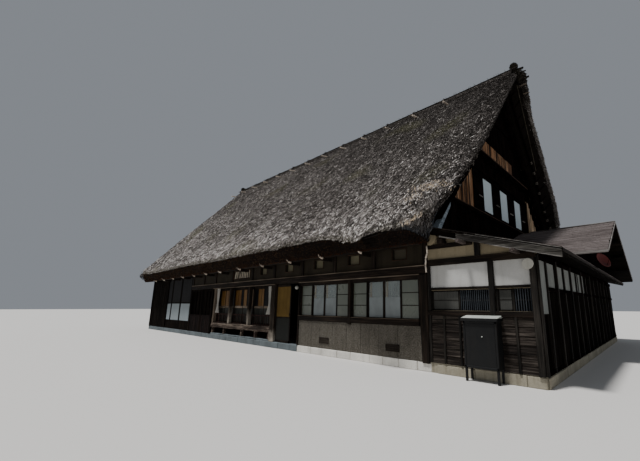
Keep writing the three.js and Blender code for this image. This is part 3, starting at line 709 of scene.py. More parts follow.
# %% Rounded corners
def corner_sticks(name, end, back):
    """The rounded side face of a corner: lit straw above, and below it straw painted darker and bluer as shade.
    """
    count = 1700 if end > 0 and not back else 500
    y = dice.uniform(-1.0, -0.22, count)
    x = half_length(y)
    top = plane_z(y) - 0.03
    deep = dice.random(count)
    z = top + (under_z(MIDDLE_X + x, y) - top) * deep
    out = columns(end * 0.8, -0.6, 0 * y)
    spots = columns(MIDDLE_X + end * x, y, z) + out * dice.uniform(-0.06, 0.015, count)[:, None]
    aims = out * dice.uniform(0.1, 0.7, count)[:, None] + columns(*dice.normal(0, 0.35, (2, count)), -0.9)
    sizes = stick_sizes(count, (0.12, 0.26), (0.012, 0.026), (0.01, 0.02))
    # Darker and bluer towards the bottom of the face: painted shade, cooled as if lit by the sky.
    shades = np.clip(dice.normal(0.6, 0.22, count) - 0.3 * deep ** 2, 0, 1)
    painted_shade_tint = np.clip(deep * 1.6 - 0.9 + dice.normal(0, 0.2, count), 0, 0.7)
    if back:
        mirror = np.array((1, -1, 1))
        spots, aims, out = (v * mirror for v in (spots - (0, 2 * RIDGE_Y, 0), aims, out))
    lay(name, spots, aims, out, sizes, shades, painted_shade_tint, reed_painted_shade)

# %% Edges of both slopes
for end, back in (("front", False), ("back", True)):
    lip_sticks("reed_lip_" + end, back)
    butt_sticks("reed_butts_" + end, back)
    verge_sticks("reed_verge_near_" + end, 1, back)
    verge_sticks("reed_verge_far_" + end, -1, back)
    corner_sticks("reed_corner_near_" + end, 1, back)
    corner_sticks("reed_corner_far_" + end, -1, back)

# %% Patches of fresh straw near the corner
def fresh_patch(x, y, wide, count):
    x = dice.normal(x, wide, count)
    y = dice.normal(y, 0.08, count)
    spots = columns(x, y, plane_z(y) + lifts(x, y)) + OUT * dice.uniform(0.0, 0.035, count)[:, None]
    aims = DOWN + columns(dice.normal(0.1, 0.4, count), dice.normal(0, 0.1, count), 0)
    sizes = columns(dice.uniform(0.08, 0.2, count), dice.uniform(0.016, 0.034, count), 0.016)
    return spots, aims, sizes


batches = [fresh_patch(*spot) for spot in ((0.1, 0.14, 0.3, 200), (-0.3, -0.2, 0.2, 100),
                                           (0.15, -0.88, 0.13, 130))]
spots, aims, sizes = (np.concatenate(group) for group in zip(*batches))
thatch_batch("reed_fresh_patches", spots, aims, sizes, dice.normal(0.75, 0.2, len(spots)),
             dice.uniform(0.2, 0.9, len(spots)), False, reed_fresh)

# %% [markdown]
# ## Timber, plaster, paper and glass
# Old farmhouse timber is dark from smoke inside and bleached where sun reaches it. The grain is noise that is
# stretched along the piece, so each finish is made once for each direction in which its timbers run. A second,
# broader noise shifts the tone from board to board, and thin dark cracks follow the grain.

# %% Timber finishes
def stretched(way, slow, fast):
    """Scale of a pattern that is stretched along one axis."""
    return tuple(slow if axis == way else fast for axis in "xyz")


def timber(name, along, dark, middle, light, roughness=0.85, depth=0.006, specular=0.14, stripes=0):
    """stripes is how many sooty streaks a metre has across the grain, if any."""
    f = Finish(name, roughness, specular)
    grain = f.noise(stretched(along, 1.3, 34), 5, 0.65, 0.2)
    blotch = f.noise(stretched(along, 0.7, 5), 2)
    tone = f.maths("ADD", f.maths("MULTIPLY", grain, 0.6), f.maths("MULTIPLY", blotch, 0.4))
    base = f.ramp(tone, (0.36, dark), (0.5, middle), (0.66, light))
    crack = f.ramp(f.noise(stretched(along, 0.5, 22), 4, 0.5), (0.30, 0.25), (0.38, 1.0))
    if stripes:
        soot = f.ramp(f.noise((stripes, stripes, 0.3), 2, 0.5), (0.44, 0.04), (0.53, 1.0))
        crack = f.mix(1.0, crack, soot, "MULTIPLY")
    f.colour(f.mix(1.0, base, crack, "MULTIPLY"))
    f.rough(grain, roughness + 0.08, roughness - 0.12)
    f.bump(f.mix(1.0, f.ramp(grain, (0.3, 0.0), (0.7, 1.0)), crack, "MULTIPLY"), depth)
    return f.material


def timber_set(name, dark, middle, light, specular=0.14):
    return {way: timber(f"{name}_{way}", way, dark, middle, light, specular=specular) for way in "xyz"}


smoked = timber_set("smoked", (0.0025, 0.0015, 0.001), (0.008, 0.005, 0.0032), (0.032, 0.021, 0.014))
# Near-black wood. Where it dresses the far boards of the front, the undersides of the roofs and the sheet
# behind the slats, its darkness is also painted shade.
tarred_and_shaded = timber_set("tarred_and_shaded", (0.002, 0.0014, 0.0012), (0.005, 0.0038, 0.003), (0.016, 0.012, 0.009), 0.015)
# Mid-brown weathered wood. On the lintel and the sills it also paints the highlight of lit top edges.
worn_and_lit_edge = timber_set("worn_and_lit_edge", (0.035, 0.026, 0.018), (0.11, 0.085, 0.062), (0.26, 0.21, 0.16))
slat_wood = timber_set("slat_wood", (0.16, 0.13, 0.09), (0.46, 0.40, 0.31), (0.72, 0.66, 0.54))
brown = timber_set("brown", (0.020, 0.010, 0.006), (0.085, 0.043, 0.024), (0.24, 0.135, 0.08))
# Pale wood: the tone of cut ends, and painted sunlight on the arm tips under the eave.
pale_cut_and_sunlit = timber_set("pale_cut_and_sunlit", (0.28, 0.22, 0.17), (0.60, 0.51, 0.42), (0.78, 0.70, 0.60))
print("timber finishes", len(bpy.data.materials), "with the thatch")

# %% Plaster, mud, stone and dado
def rendered(name, light, dark, stain, grain=45, roughness=0.92, depth=0.004, spots=0.35):
    """A wall coat: broad clouds between two tones, streaks of dirt that run down, and a fine grain."""
    f = Finish(name, roughness, 0.2)
    clouds = f.noise((1.6, 1.6, 1.6), 4)
    fine = f.noise((grain, grain, grain), 3, 0.7)
    run = f.noise((7, 7, 0.7), 3)
    base = f.mix(f.ramp(clouds, (0.35, 0.0), (0.65, 1.0)), light, dark)
    dirty = f.mix(f.ramp(run, (0.52, 0.0), (0.78, spots)), base, stain)
    f.colour(f.mix(f.ramp(fine, (0.35, 0.22), (0.65, 0.0)), dirty, stain))
    f.bump(fine, depth)
    return f.material


white_plaster = rendered("white_plaster", (0.50, 0.495, 0.475), (0.405, 0.40, 0.38), (0.22, 0.20, 0.17))
cream_plaster = rendered("cream_plaster", (0.27, 0.225, 0.145), (0.205, 0.17, 0.11), (0.10, 0.075, 0.042))
mud_wall = rendered("mud_wall", (0.028, 0.022, 0.013), (0.016, 0.012, 0.007), (0.006, 0.004, 0.0025),
                    spots=0.6)
stone = rendered("stone", (0.80, 0.77, 0.70), (0.62, 0.60, 0.55), (0.28, 0.26, 0.21), grain=26, depth=0.012)
shade_stone = rendered("shade_stone", (0.15, 0.175, 0.185), (0.105, 0.122, 0.128), (0.05, 0.056, 0.058),
                       grain=26)


def pebbled(name, light, dark, gap):
    """Small pebbles set in mortar: each cell has its own tone, and its rim is dark."""
    f = Finish(name, 0.85, 0.2)
    rim = f.cells((62, 62, 62))
    pebbles = f.ramp(f.cells((62, 62, 62), "Color"), (0.15, dark), (0.85, light))
    run = f.ramp(f.noise((5, 5, 0.6), 3), (0.45, 0.0), (0.75, 0.5))
    f.colour(f.mix(run, f.mix(f.ramp(rim, (0.3, 0.0), (0.62, 0.85)), pebbles, gap), gap))
    f.bump(rim, -0.004)
    return f.material


speckled_dado = pebbled("speckled_dado", (0.26, 0.235, 0.195), (0.075, 0.066, 0.052), (0.028, 0.024, 0.018))

# %% Paper, panes and cloth
def paper_finish(name, colour, shade):
    f = Finish(name, 0.85, 0.2)
    fibre = f.noise((60, 60, 18), 3)
    cloud = f.noise((1.4, 1.4, 0.8), 2)
    f.colour(f.mix(f.maths("MULTIPLY", fibre, cloud), colour, shade))
    f.bump(fibre, 0.0008)
    return f.material


def pane_finish(name, colour, shade, roughness, specular=0.6):
    """Old glass: a toned pane that is a little wavy, so that its gloss wanders."""
    f = Finish(name, roughness, specular)
    wave = f.noise((2.4, 2.4, 1.6), 2)
    f.colour(f.mix(f.ramp(wave, (0.35, 0.0), (0.65, 1.0)), colour, shade))
    f.rough(wave, roughness * 0.6, roughness * 1.6)
    f.bump(wave, 0.01)
    return f.material


window_paper = paper_finish("window_paper", (0.58, 0.67, 0.71), (0.42, 0.50, 0.54))
beige_paper = paper_finish("beige_paper", (0.155, 0.14, 0.09), (0.10, 0.09, 0.055))
dim_paper = paper_finish("dim_paper", (0.055, 0.047, 0.032), (0.035, 0.03, 0.02))
curtain_cloth = paper_finish("curtain_cloth", (0.215, 0.24, 0.235), (0.16, 0.18, 0.175))
white_cloth = paper_finish("white_cloth", (0.42, 0.405, 0.37), (0.30, 0.285, 0.255))
screen_paper = paper_finish("screen_paper", (0.26, 0.295, 0.31), (0.20, 0.228, 0.24))
grey_pane = pane_finish("grey_pane", (0.10, 0.112, 0.088), (0.078, 0.088, 0.069), 0.28)
frosted_pane = pane_finish("frosted_pane", (0.20, 0.225, 0.225), (0.145, 0.163, 0.163), 0.35, 0.4)
# Black glass: painted shade of the dark rooms seen through it.
black_pane = pane_finish("black_pane", (0.003, 0.003, 0.004), (0.005, 0.005, 0.006), 0.45, 0.06)
amber_pane = pane_finish("amber_pane", (0.13, 0.066, 0.014), (0.08, 0.037, 0.008), 0.4, 0.15)
slate_panel = pane_finish("slate_panel", (0.024, 0.025, 0.021), (0.015, 0.0155, 0.013), 0.5, 0.1)
clear_glass = pane_finish("clear_glass", (0.9, 0.95, 0.93), (0.85, 0.9, 0.88), 0.03)
clear_glass.node_tree.nodes["Principled BSDF"].inputs["Transmission Weight"].default_value = 0.92
print("finishes", len(bpy.data.materials))

# %% [markdown]
# ## Front wall by the windows
# The solid wall carries the openings. In front of it go the corner post, the sill beam, the head and the middle
# post, hewn a little out of true, and the dado of speckled boards with two small vents. Long timbers have the
# grain along them, so posts and beams are separate pieces with their own finish.

# %% Beams and posts of the window bay
WINDOW_END = -5.45
GROUPS = {"near": -0.21, "mid": -2.86}
SASH = 0.63
GLASS_LOW, GLASS_HIGH = 1.06, 2.13
LINTEL_LOW = 2.25
UNDER_LINTEL = LINTEL_LOW - 0.0005
WALL_TOP = 3.57

dress(smoked["x"], "front_window_wall", "front_lintel")
dress(mud_wall, "front_upper_wall")
boarded("window_sill_beam", smoked["x"], "dark_timber",
        (((WINDOW_END, -0.035, 0.90), (-0.2, -0.001, 1.045)),
         ((WINDOW_END, -0.02, 2.14), (-0.2, -0.001, 2.235))),
        (0.006,), edge=0.006)

bm = bmesh.new()
for v in board(bm, (-0.205, -0.055, -0.02), (0.098, -0.001, 2.245)):
    v.co.x += 0.09 if v.co.x < 0 and v.co.z < 1 else 0
board(bm, (-2.86, -0.05, 0.83), (-2.735, -0.001, 2.245))
board(bm, (-5.45, -0.045, 0.0), (-5.40, -0.001, 2.245))
hewn(bm, 0.008, 0.9)
add_piece("window_posts", bm, smoked["z"], "dark_timber", edge=0.01)

# Thin pale strips on the top edges of the lintel and the sills: a painted highlight where light catches them.
boarded("lintel_worn_edges", worn_and_lit_edge["x"], "weathered_timber",
        (((-15.6, -0.045, 2.468), (0.1, -0.001, 2.492)), ((-5.45, -0.06, 2.236), (-0.16, -0.001, 2.262)),
         ((-12.72, -0.06, 2.236), (-7.06, -0.001, 2.262)), ((-5.44, -0.045, 1.046), (-0.21, -0.002, 1.058))),
        (0.006, 0.6), edge=0.004)
boarded("lintel_face", smoked["x"], "dark_timber", (((-15.6, -0.03, 2.275), (0.1, -0.001, 2.462)),),
        (0.012, 0.5), (5, 60), edge=0.008)

# %% Dado
DADO_JOINTS = (-0.255, -0.93, -1.61, -2.32, -2.95, -3.60, -4.25, -4.87, WINDOW_END)
VENTS = ((-4.23, -3.76), (-1.35, -0.87))
SLATS = 9

boarded("dado_boards", speckled_dado, "grey_board",
        [((far + 0.004, 0.004, 0.0), (near - 0.004, 0.038, 0.88)) for near,
         far in zip(DADO_JOINTS, DADO_JOINTS[1:])]
        + [((-0.25, -0.012, 0.0), (-0.09, -0.001, 0.88))], stands_for=["front_dado"], edge=0.003)
bm = bmesh.new()
for far, near in VENTS:
    frame_within(bm, far, near, 0.165, 0.36, -0.016, 0.002, 0.03, 0.03, 0.025, 0.025)
    board(bm, (far + 0.02, -0.004, 0.18), (near - 0.02, 0.001, 0.345))
    for k in range(1, SLATS):
        x = far + k * (near - far) / SLATS
        board(bm, (x - 0.006, -0.01, 0.18), (x + 0.006, -0.003, 0.345))
vent_wood = timber("vent_wood", "x", (0.007, 0.005, 0.004), (0.026, 0.02, 0.015), (0.07, 0.056, 0.044))
add_piece("dado_vents", bm, vent_wood, "dark_timber", edge=0.002)

# %% [markdown]
# ## Sliding windows
# Each group has four sashes. The outer two have three toned panes between thin bars. The inner two have one
# pane: frosted below, clear above, and behind the clear part hangs a pleated curtain.

# %% One sash
inner_wood = timber_set("inner_wood", (0.12, 0.085, 0.045), (0.26, 0.19, 0.10), (0.40, 0.31, 0.18))


def sash(x0, x1, y, bars, frames, panes, frosted, clears, curtains, stiles):
    stile, low, high = 0.042, GLASS_LOW + 0.016, GLASS_HIGH - 0.014
    frame_within(frames, x0, x1, GLASS_LOW, GLASS_HIGH, y, y + 0.03, stile, stile, 0.016, 0.014)
    inner = (x0 + stile - 0.005, x1 - stile + 0.005)
    if bars:
        board(panes, (inner[0], y + 0.012, low - 0.005), (inner[1], y + 0.018, high + 0.005))
        for k in (1, 2):
            z = low + (high - low) * k / 3
            board(frames, (inner[0], y + 0.002, z - 0.011), (inner[1], y + 0.028, z + 0.011))
        return
    split = low + 0.56 * (high - low)
    board(frosted, (inner[0], y + 0.012, low - 0.005), (inner[1], y + 0.018, split))
    board(clears, (inner[0], y + 0.012, split), (inner[1], y + 0.018, high + 0.005))
    start = inner[0] + 0.01
    board(stiles, (start, y + 0.03, split), (start + 0.09, y + 0.04, high))
    folds = bmesh.ops.create_grid(curtains, x_segments=36, y_segments=4, size=0.5)["verts"]
    for v in folds:
        across, up = v.co.x + 0.5, v.co.y + 0.5
        v.co = (start + across * (inner[1] - start), y + 0.06 + 0.012 * math.sin(across * 44 + up * 1.5),
                split - 0.05 + up * (high - split + 0.05))

# %% A group of sashes
def window_group(name, near_x, count, stands_for, back=False):
    batches = {key: bmesh.new() for key in ("frames", "panes", "frosted", "clears", "curtains", "stiles")}
    for k in range(count):
        x1 = near_x - k * SASH
        outer = k % 4 in (0, 3)
        sash(x1 - SASH + 0.002, x1 - 0.002, 0.052 if outer else 0.082, outer, **batches)
    finishes = {"frames": (smoked["z"], "dark_timber"), "panes": (grey_pane, "glass"),
                "frosted": (frosted_pane, "glass"), "clears": (clear_glass, "glass"),
                "curtains": (curtain_cloth, "paper"), "stiles": (inner_wood["z"], "brown_board")}
    for key, bm in batches.items():
        if back:
            bmesh.ops.rotate(bm, verts=bm.verts, cent=(near_x - count * SASH / 2, RIDGE_Y, 0),
                             matrix=Matrix.Rotation(math.pi, 3, "Z"))
        finish, where = finishes[key]
        owner = stands_for if key == "frames" else ()
        add_piece(f"{name}_{key}", bm, finish, where, stands_for=owner, edge=0.003 if key == "frames" else 0)


for key, near_x in GROUPS.items():
    window_group(f"window_{key}", near_x, 4, [f"window_group_{key}"])

# %% [markdown]
# ## Upper wall
# Between short struts the upper wall is dark mud plaster. It has a row of small paper windows in wooden frames.
# The nearest one is dark, and one wide opening is closed by crooked slats.

# %% Struts, plate and frames
SMALL_LIGHTS = (-0.865, -2.695, -4.455, -6.24, -8.115)
SLAT_LIGHT = (-10.75, -9.27)
STRUTS = [x + 0.88 for x in SMALL_LIGHTS] + [-9.0, -10.86, -12.66, -14.1, -15.53]

boarded("upper_struts", smoked["z"], "dark_timber",
        [((x - 0.075, -0.005, 2.49), (min(x + 0.075, 0.098), 0.039, 3.38)) for x in STRUTS], (0.006,),
        edge=0.008)
boarded("upper_plate_face", smoked["x"], "dark_timber", (((-15.6, -0.02, 3.37), (0.098, -0.001, 3.56)),),
        (0.012,), (5, 40), edge=0.006)

frame_brown = timber_set("frame_brown", (0.008, 0.004, 0.002), (0.028, 0.015, 0.009), (0.07, 0.04, 0.025))
bm = bmesh.new()
for x in SMALL_LIGHTS:
    frame_round(bm, x - 0.245, x + 0.245, 2.715, 3.025, 0.02, 0.139, 0.024)
frame_round(bm, *SLAT_LIGHT, 2.65, 3.0, 0.015, 0.139, 0.03)
add_piece("small_window_frames", bm, frame_brown["x"], "dark_timber", edge=0.014)
boarded("dark_small_pane", dim_paper, "paper",
        (((SMALL_LIGHTS[0] - 0.23, 0.12, 2.722), (SMALL_LIGHTS[0] + 0.23, 0.135, 3.018)),))
dress(beige_paper, "front_upper_shoji")

SLAT_LEAN = (0.21, 0.15, -0.15, 0.18, 0.15, -0.12, 0.0, 0.03, -0.03)
bm = bmesh.new()
for k, tilt in enumerate(SLAT_LEAN):
    x = SLAT_LIGHT[0] + 0.10 + k * 0.16
    slat = board(bm, (x - 0.022, 0.05, 2.66), (x + 0.022, 0.075, 2.99))
    bmesh.ops.rotate(bm, verts=slat, cent=(x, 0.06, 2.82), matrix=Matrix.Rotation(tilt, 3, "Y"))
add_piece("slats", bm, slat_wood["z"], "weathered_timber", edge=0.003)
# A dark sheet behind the slats: painted shade of the dark opening.
boarded("dark_behind_slats", tarred_and_shaded["x"], "dark_timber",
        (((SLAT_LIGHT[0] + 0.001, 0.12, 2.652), (SLAT_LIGHT[1] - 0.001, 0.135, 2.998)),))

# %% [markdown]
# ## Log and arms under the eave
# A log carries the edge of the thatch. It rests on arms that stand out of the wall, and each arm ends in a
# pale curved tip, painted pale as sunlight where it pokes out of the eave's shadow. The tip is a pole bent
# downwards in a few steps.

# %% Eave log and arms
ARM_FIRST, ARM_PITCH, FAR_X, DEPTH = -2.0, 1.786, -22.48, 12.8
ARM_X = (-2.0, -3.79, -5.6, -7.5, -9.42, -11.35, -12.96, -14.5, -16.1, -17.7, -19.3, -20.9)


def eave_timbers(end):
    log, tips = bmesh.new(), bmesh.new()
    pole(log, (FAR_X - 0.88, -0.29, 3.09), (0.05, -0.29, 3.09), 0.085, sides=14)
    split_long(log, 5, 50)
    hewn(log, 0.03, 1.6)
    for x in ARM_X:
        board(log, (x - 0.055, -0.36, 2.90), (x + 0.055, 0.02, 3.02))
        route = [(x, -0.34, 2.985), (x, -0.43, 3.0), (x, -0.50, 3.04), (x, -0.54, 3.10)]
        for k, (a, b) in enumerate(zip(route, route[1:])):
            pole(tips, a, b, 0.044 - 0.008 * k, 0.036 - 0.008 * k, sides=8)
    if end == "back":
        to_back(log)
        to_back(tips)
    add_piece(f"eave_log_{end}", log, smoked["x"], "dark_timber", stands_for=[f"{end}_eave_purlin"])
    # The pale tone of the tips is painted sunlight on their ends.
    add_piece(f"arm_tips_{end}", tips, pale_cut_and_sunlit["y"], "weathered_timber", smooth=True)


eave_timbers("front")
eave_timbers("back")

# %% Corner corbel and the thin strip that hangs from it
CORBEL = ((0.28, 3.29), (0.49, 3.29), (0.48, 3.18), (0.44, 3.09), (0.37, 3.03), (0.25, 2.98), (0.21, 3.01),
          (0.27, 3.06), (0.29, 3.14))
STRIP = ((0.135, -0.075, 2.99), (0.15, -0.08, 2.80), (0.105, -0.085, 2.66), (0.09, -0.085, 2.48),
         (0.105, -0.08, 2.28))
bm = bmesh.new()
outline = bm.faces.new([bm.verts.new((x, -0.16, z)) for x, z in CORBEL])
bmesh.ops.translate(bm, verts=extruded(bm, [outline]), vec=(0, 0.10, 0))
add_piece("corner_corbel", bm, cream_plaster, "weathered_timber", edge=0.008)
bm = bmesh.new()
bent_pole(bm, STRIP, 0.022)
add_piece("corner_strip", bm, pale_cut_and_sunlit["z"], "weathered_timber", smooth=True)

# %% [markdown]
# ## Entrance
# The sliding door has an ochre panel over a dark boarded half, in a dark frame with one thin middle rail. It
# rides on its own body, so that it moves with its slide joint.

# %% Weathered post wood
def post_finish(name, low, high):
    """Bleached below the height low, smoked above the height high."""
    f = Finish(name, 0.88, 0.1)
    grain = f.noise((38, 38, 1.6), 5, 0.65, 0.2)
    tall = f.make("SeparateXYZ", ((0, f.where),)).outputs["Z"]
    wander = f.maths("ADD", tall, f.maths("MULTIPLY", f.noise((3, 3, 3), 2), 0.7))
    foot = CORNER.z + 0.35
    height = f.make("MapRange", (("From Min", foot + low), ("From Max", foot + high), ("Value", wander)))
    pale = f.ramp(grain, (0.32, (0.05, 0.042, 0.034)), (0.5, (0.22, 0.19, 0.155)), (0.7, (0.50, 0.45, 0.38)))
    dark = f.ramp(grain, (0.32, (0.004, 0.003, 0.002)), (0.5, (0.014, 0.010, 0.007)),
                  (0.7, (0.045, 0.034, 0.025)))
    f.colour(f.mix(height.outputs[0], pale, dark))
    f.bump(grain, 0.008)
    return f.material


veranda_wood = post_finish("veranda_post_wood", 0.7, 1.3)
entrance_wood = post_finish("entrance_post_wood", 0.05, 0.5)
print("post finishes", veranda_wood.name, entrance_wood.name)

# %% Entrance post and door
DOOR_X, DOOR_Y = (-7.045, -6.095), (0.09, 0.126)
DOOR = {"body": "entrance_door_body"}
ochre = rendered("ochre_board", (0.135, 0.082, 0.017), (0.095, 0.056, 0.012), (0.04, 0.022, 0.006), 60,
                 spots=0.5)
grey_green = rendered("grey_green", (0.014, 0.0145, 0.012), (0.010, 0.0105, 0.009), (0.004, 0.004, 0.0035),
                      30,
                      depth=0.001)

boarded("entrance_post_hewn", entrance_wood, "dark_timber",
        (((-7.36, -0.012, 0.0), (-7.05, 0.30, UNDER_LINTEL)),),
        (0.01, 0.6), (1, 6), stands_for=["entrance_post"], edge=0.015)
(x0, x1), (y0, y1) = DOOR_X, DOOR_Y
bm = bmesh.new()
frame_within(bm, x0, x1, 0.0, 2.2345, y0, y1, 0.02, 0.06, 0.09, 0.0945)
board(bm, (x0, y0, 0.93), (x1, y1, 0.975))
add_piece("entrance_door_frame", bm, smoked["z"], "dark_timber", stands_for=["entrance_door"], edge=0.003,
          **DOOR)
boarded("entrance_door_ochre", ochre, "ochre_panel",
        (((x0 + 0.015, y0 + 0.008, 0.97), (x1 - 0.05, y1 - 0.008, 2.15)),), **DOOR)
boarded("entrance_door_lower", grey_green, "dark_timber",
        (((x0 + 0.015, y0 + 0.009, 0.085), (x1 - 0.055, y1 - 0.009, 0.935)),), edge=0.002, **DOOR)
boarded("entrance_door_pull", tarred_and_shaded["z"], "dark_timber",
        (((x0 + 0.86, y0 - 0.001, 1.02), (x0 + 0.89, y0 + 0.01, 1.12)),), edge=0.002, **DOOR)

# %% Lamp beside the entrance
LAMP_X = -5.415
bm = bmesh.new()
bmesh.ops.create_uvsphere(bm, u_segments=24, v_segments=14, radius=0.068,
                          matrix=Matrix.Translation((LAMP_X, -0.16, 2.06)))
lamp_glass = pane_finish("lamp_glass", (0.30, 0.29, 0.25), (0.20, 0.19, 0.17), 0.3)
add_piece("lamp_globe", bm, lamp_glass, "glass", smooth=True)
bm = bmesh.new()
pole(bm, (LAMP_X, -0.04, 2.14), (LAMP_X, -0.16, 2.14), 0.014, sides=8)
pole(bm, (LAMP_X, -0.16, 2.12), (LAMP_X, -0.16, 2.165), 0.045, 0.03, sides=14)
board(bm, (LAMP_X - 0.03, -0.046, 2.09), (LAMP_X + 0.03, -0.03, 2.19))
add_piece("lamp_arm", bm, tarred_and_shaded["z"], "black_metal", edge=0.002)

# %% [markdown]
# ## Veranda
# Posts, edge beam and its short legs are the most weathered timber of the house: pale at the foot, dark under
# the eave. The tone of a post therefore also depends on its height. The beam is split and hewn, so its faces
# are subdivided and moved by noise.

# %% Posts, beam and feet
VERANDA = (-12.74, -7.36)
POSTS = (-9.2, -10.97, -12.66)
FEET = (-7.48, -8.52, -9.70, -11.40, -12.64)
FLOOR_TOP = 0.56
for k, x in enumerate(POSTS):
    bm = bmesh.new()
    board(bm, (x - 0.062, 0.022, FLOOR_TOP), (x + 0.062, 0.178, UNDER_LINTEL))
    split_long(bm, 1, 9)
    hewn(bm, 0.014, 0.5)
    for v in bm.verts:
        if v.co.z < 0.8:
            v.co.x = x + (v.co.x - x) * 1.12
    add_piece(f"veranda_post_hewn_{k + 1}", bm, worn_and_lit_edge["z"] if k == 2 else veranda_wood,
              "weathered_timber",
              stands_for=[f"veranda_post_{k + 1}"], edge=0.014)

bm = bmesh.new()
board(bm, (VERANDA[0], 0.0, 0.335), (VERANDA[1] - 0.001, 0.198, 0.558))
split_long(bm, 1, 44)
upright = [e for e in bm.edges if abs((e.verts[0].co - e.verts[1].co).z) > 0.2]
bmesh.ops.subdivide_edges(bm, edges=upright, cuts=3, use_grid_fill=True)
hewn(bm, 0.022, 0.16)
for x in FEET:
    board(bm, (x - 0.06, 0.042, 0.0), (x + 0.06, 0.158, 0.345))
rough_beam = timber("rough_beam", "x", (0.006, 0.004, 0.003), (0.036, 0.025, 0.019), (0.24, 0.19, 0.15), 0.9,
                    0.014)
add_piece("veranda_beam_hewn", bm, rough_beam, "weathered_timber", stands_for=["veranda_edge_beam"],
          edge=0.006)

BASE_STONES = 11
half = (VERANDA[1] - VERANDA[0]) / BASE_STONES / 2
bm = bmesh.new()
for k in range(BASE_STONES):
    x = VERANDA[0] + half * (2 * k + 1)
    board(bm, (x - half + 0.004, 0.02, -0.01 + 0.012 * (k % 3)),
          (x + half - 0.004, 0.27, 0.055 + 0.006 * (k % 2)))
hewn(bm, 0.008, 0.4)
add_piece("veranda_base_stones", bm, shade_stone, "stone", edge=0.012)

# %% Railing
BARS = 30
x0, x1 = VERANDA[0] + 0.01, VERANDA[1] - 0.005
railing_wood = timber("railing_wood", "z", (0.006, 0.003, 0.0025), (0.024, 0.012, 0.0095),
                      (0.075, 0.04, 0.031))
rails = [((x0, 0.182, low), (x1, 0.206, high)) for low, high in ((0.561, 0.61), (0.955, 1.01))]
bars = [((x - 0.021, 0.187, 0.60), (x + 0.021, 0.202, 0.96))
        for x in np.linspace(x0 + 0.03, x1 - 0.03, BARS + 1)]
boarded("railing_bars", railing_wood, "dark_timber", rails + bars, stands_for=["veranda_railing"], edge=0.004)

# %% [markdown]
# ## Leaves behind the railing
# Six leaves run on two tracks. Each has a dark panel below, a tan middle rail, and above it upright strips of
# amber and black glass. Three leaves slide, and each rides with all its strips on its own body.

# %% Leaves
def leaf(x0, x1, y, low, high, strips, batches):
    """strips is a word with one letter a strip: a for amber, b for black."""
    frames, rails, ambers, blacks, slates = batches
    middle = low + 0.47 * (high - low)
    frame_within(frames, x0, x1, low, high, y, y + 0.032, 0.05, 0.05, 0.07, 0.06)
    board(rails, (x0 + 0.05, y - 0.001, middle - 0.05), (x1 - 0.05, y + 0.031, middle + 0.045))
    board(slates, (x0 + 0.045, y + 0.01, low + 0.065), (x1 - 0.045, y + 0.022, middle - 0.045))
    board(frames, ((x0 + x1) / 2 - 0.012, y + 0.004, low + 0.07),
          ((x0 + x1) / 2 + 0.012, y + 0.028, middle - 0.05))
    width = (x1 - x0 - 0.10) / len(strips)
    for k, letter in enumerate(strips):
        a = x0 + 0.05 + k * width
        pane = ambers if letter == "a" else blacks
        board(pane, (a, y + 0.01, middle + 0.04), (a + width, y + 0.022, high - 0.055))
        if k:
            board(frames, (a - 0.009, y + 0.004, middle + 0.045), (a + 0.009, y + 0.028, high - 0.06))

# %% Six leaves
LEAF_LOW, LEAF_HIGH, LAP = FLOOR_TOP + 0.03, LINTEL_LOW - 0.07, 0.03
LEAF_PITCH = (VERANDA[1] - VERANDA[0]) / 6
FINISHES = (("frame", smoked["z"], "dark_timber"), ("rail", worn_and_lit_edge["x"], "amber_leaf"),
            ("amber", amber_pane, "amber_leaf"), ("black", black_pane, "glass"),
            ("slate", slate_panel, "amber_leaf"))


def finish_leaf(name, batches, body, stands_for):
    for (part, finish, where), bm in zip(FINISHES, batches):
        add_piece(f"{name}_{part}", bm, finish, where, body, stands_for if part == "frame" else (),
                  0.002 if part == "frame" else 0)


fixed = [bmesh.new() for _ in FINISHES]
board(fixed[0], (VERANDA[0], 0.222, 0.46), (VERANDA[1] - 0.001, 0.308, LEAF_LOW - 0.0005))
board(fixed[0], (VERANDA[0], 0.270, LEAF_HIGH - 0.02), (VERANDA[1] - 0.001, 0.308, UNDER_LINTEL))
for k, (still, moving) in enumerate((("baa", "aab"), ("aab", "aba"), ("baa", "bba"))):
    at = VERANDA[0] + 2 * k * LEAF_PITCH
    leaf(at + 0.002, at + LEAF_PITCH + LAP, 0.276, LEAF_LOW - 0.01, LEAF_HIGH, still, fixed)
    parts = [bmesh.new() for _ in FINISHES]
    near = min(at + 2 * LEAF_PITCH + LAP, VERANDA[1] - 0.008)
    leaf(at + LEAF_PITCH - LAP, near, 0.232, LEAF_LOW, LEAF_HIGH, moving, parts)
    finish_leaf(f"leaf_{k + 1}", parts, f"veranda_door_{k + 1}_body", [f"veranda_door_{k + 1}"])
finish_leaf("fixed_leaves", fixed, "house", ["veranda_fixed_leaves"])

# %% [markdown]
# ## Curtains at both ends of the veranda
# A white cloth hangs at each end, gathered in pleats and tied at mid height. Each is one sheet: a grid whose
# columns swing to and fro in pleats, drawn together at the tie. The width of the flat cloth is what the pleats
# add up to, so it is measured on the finished mesh.

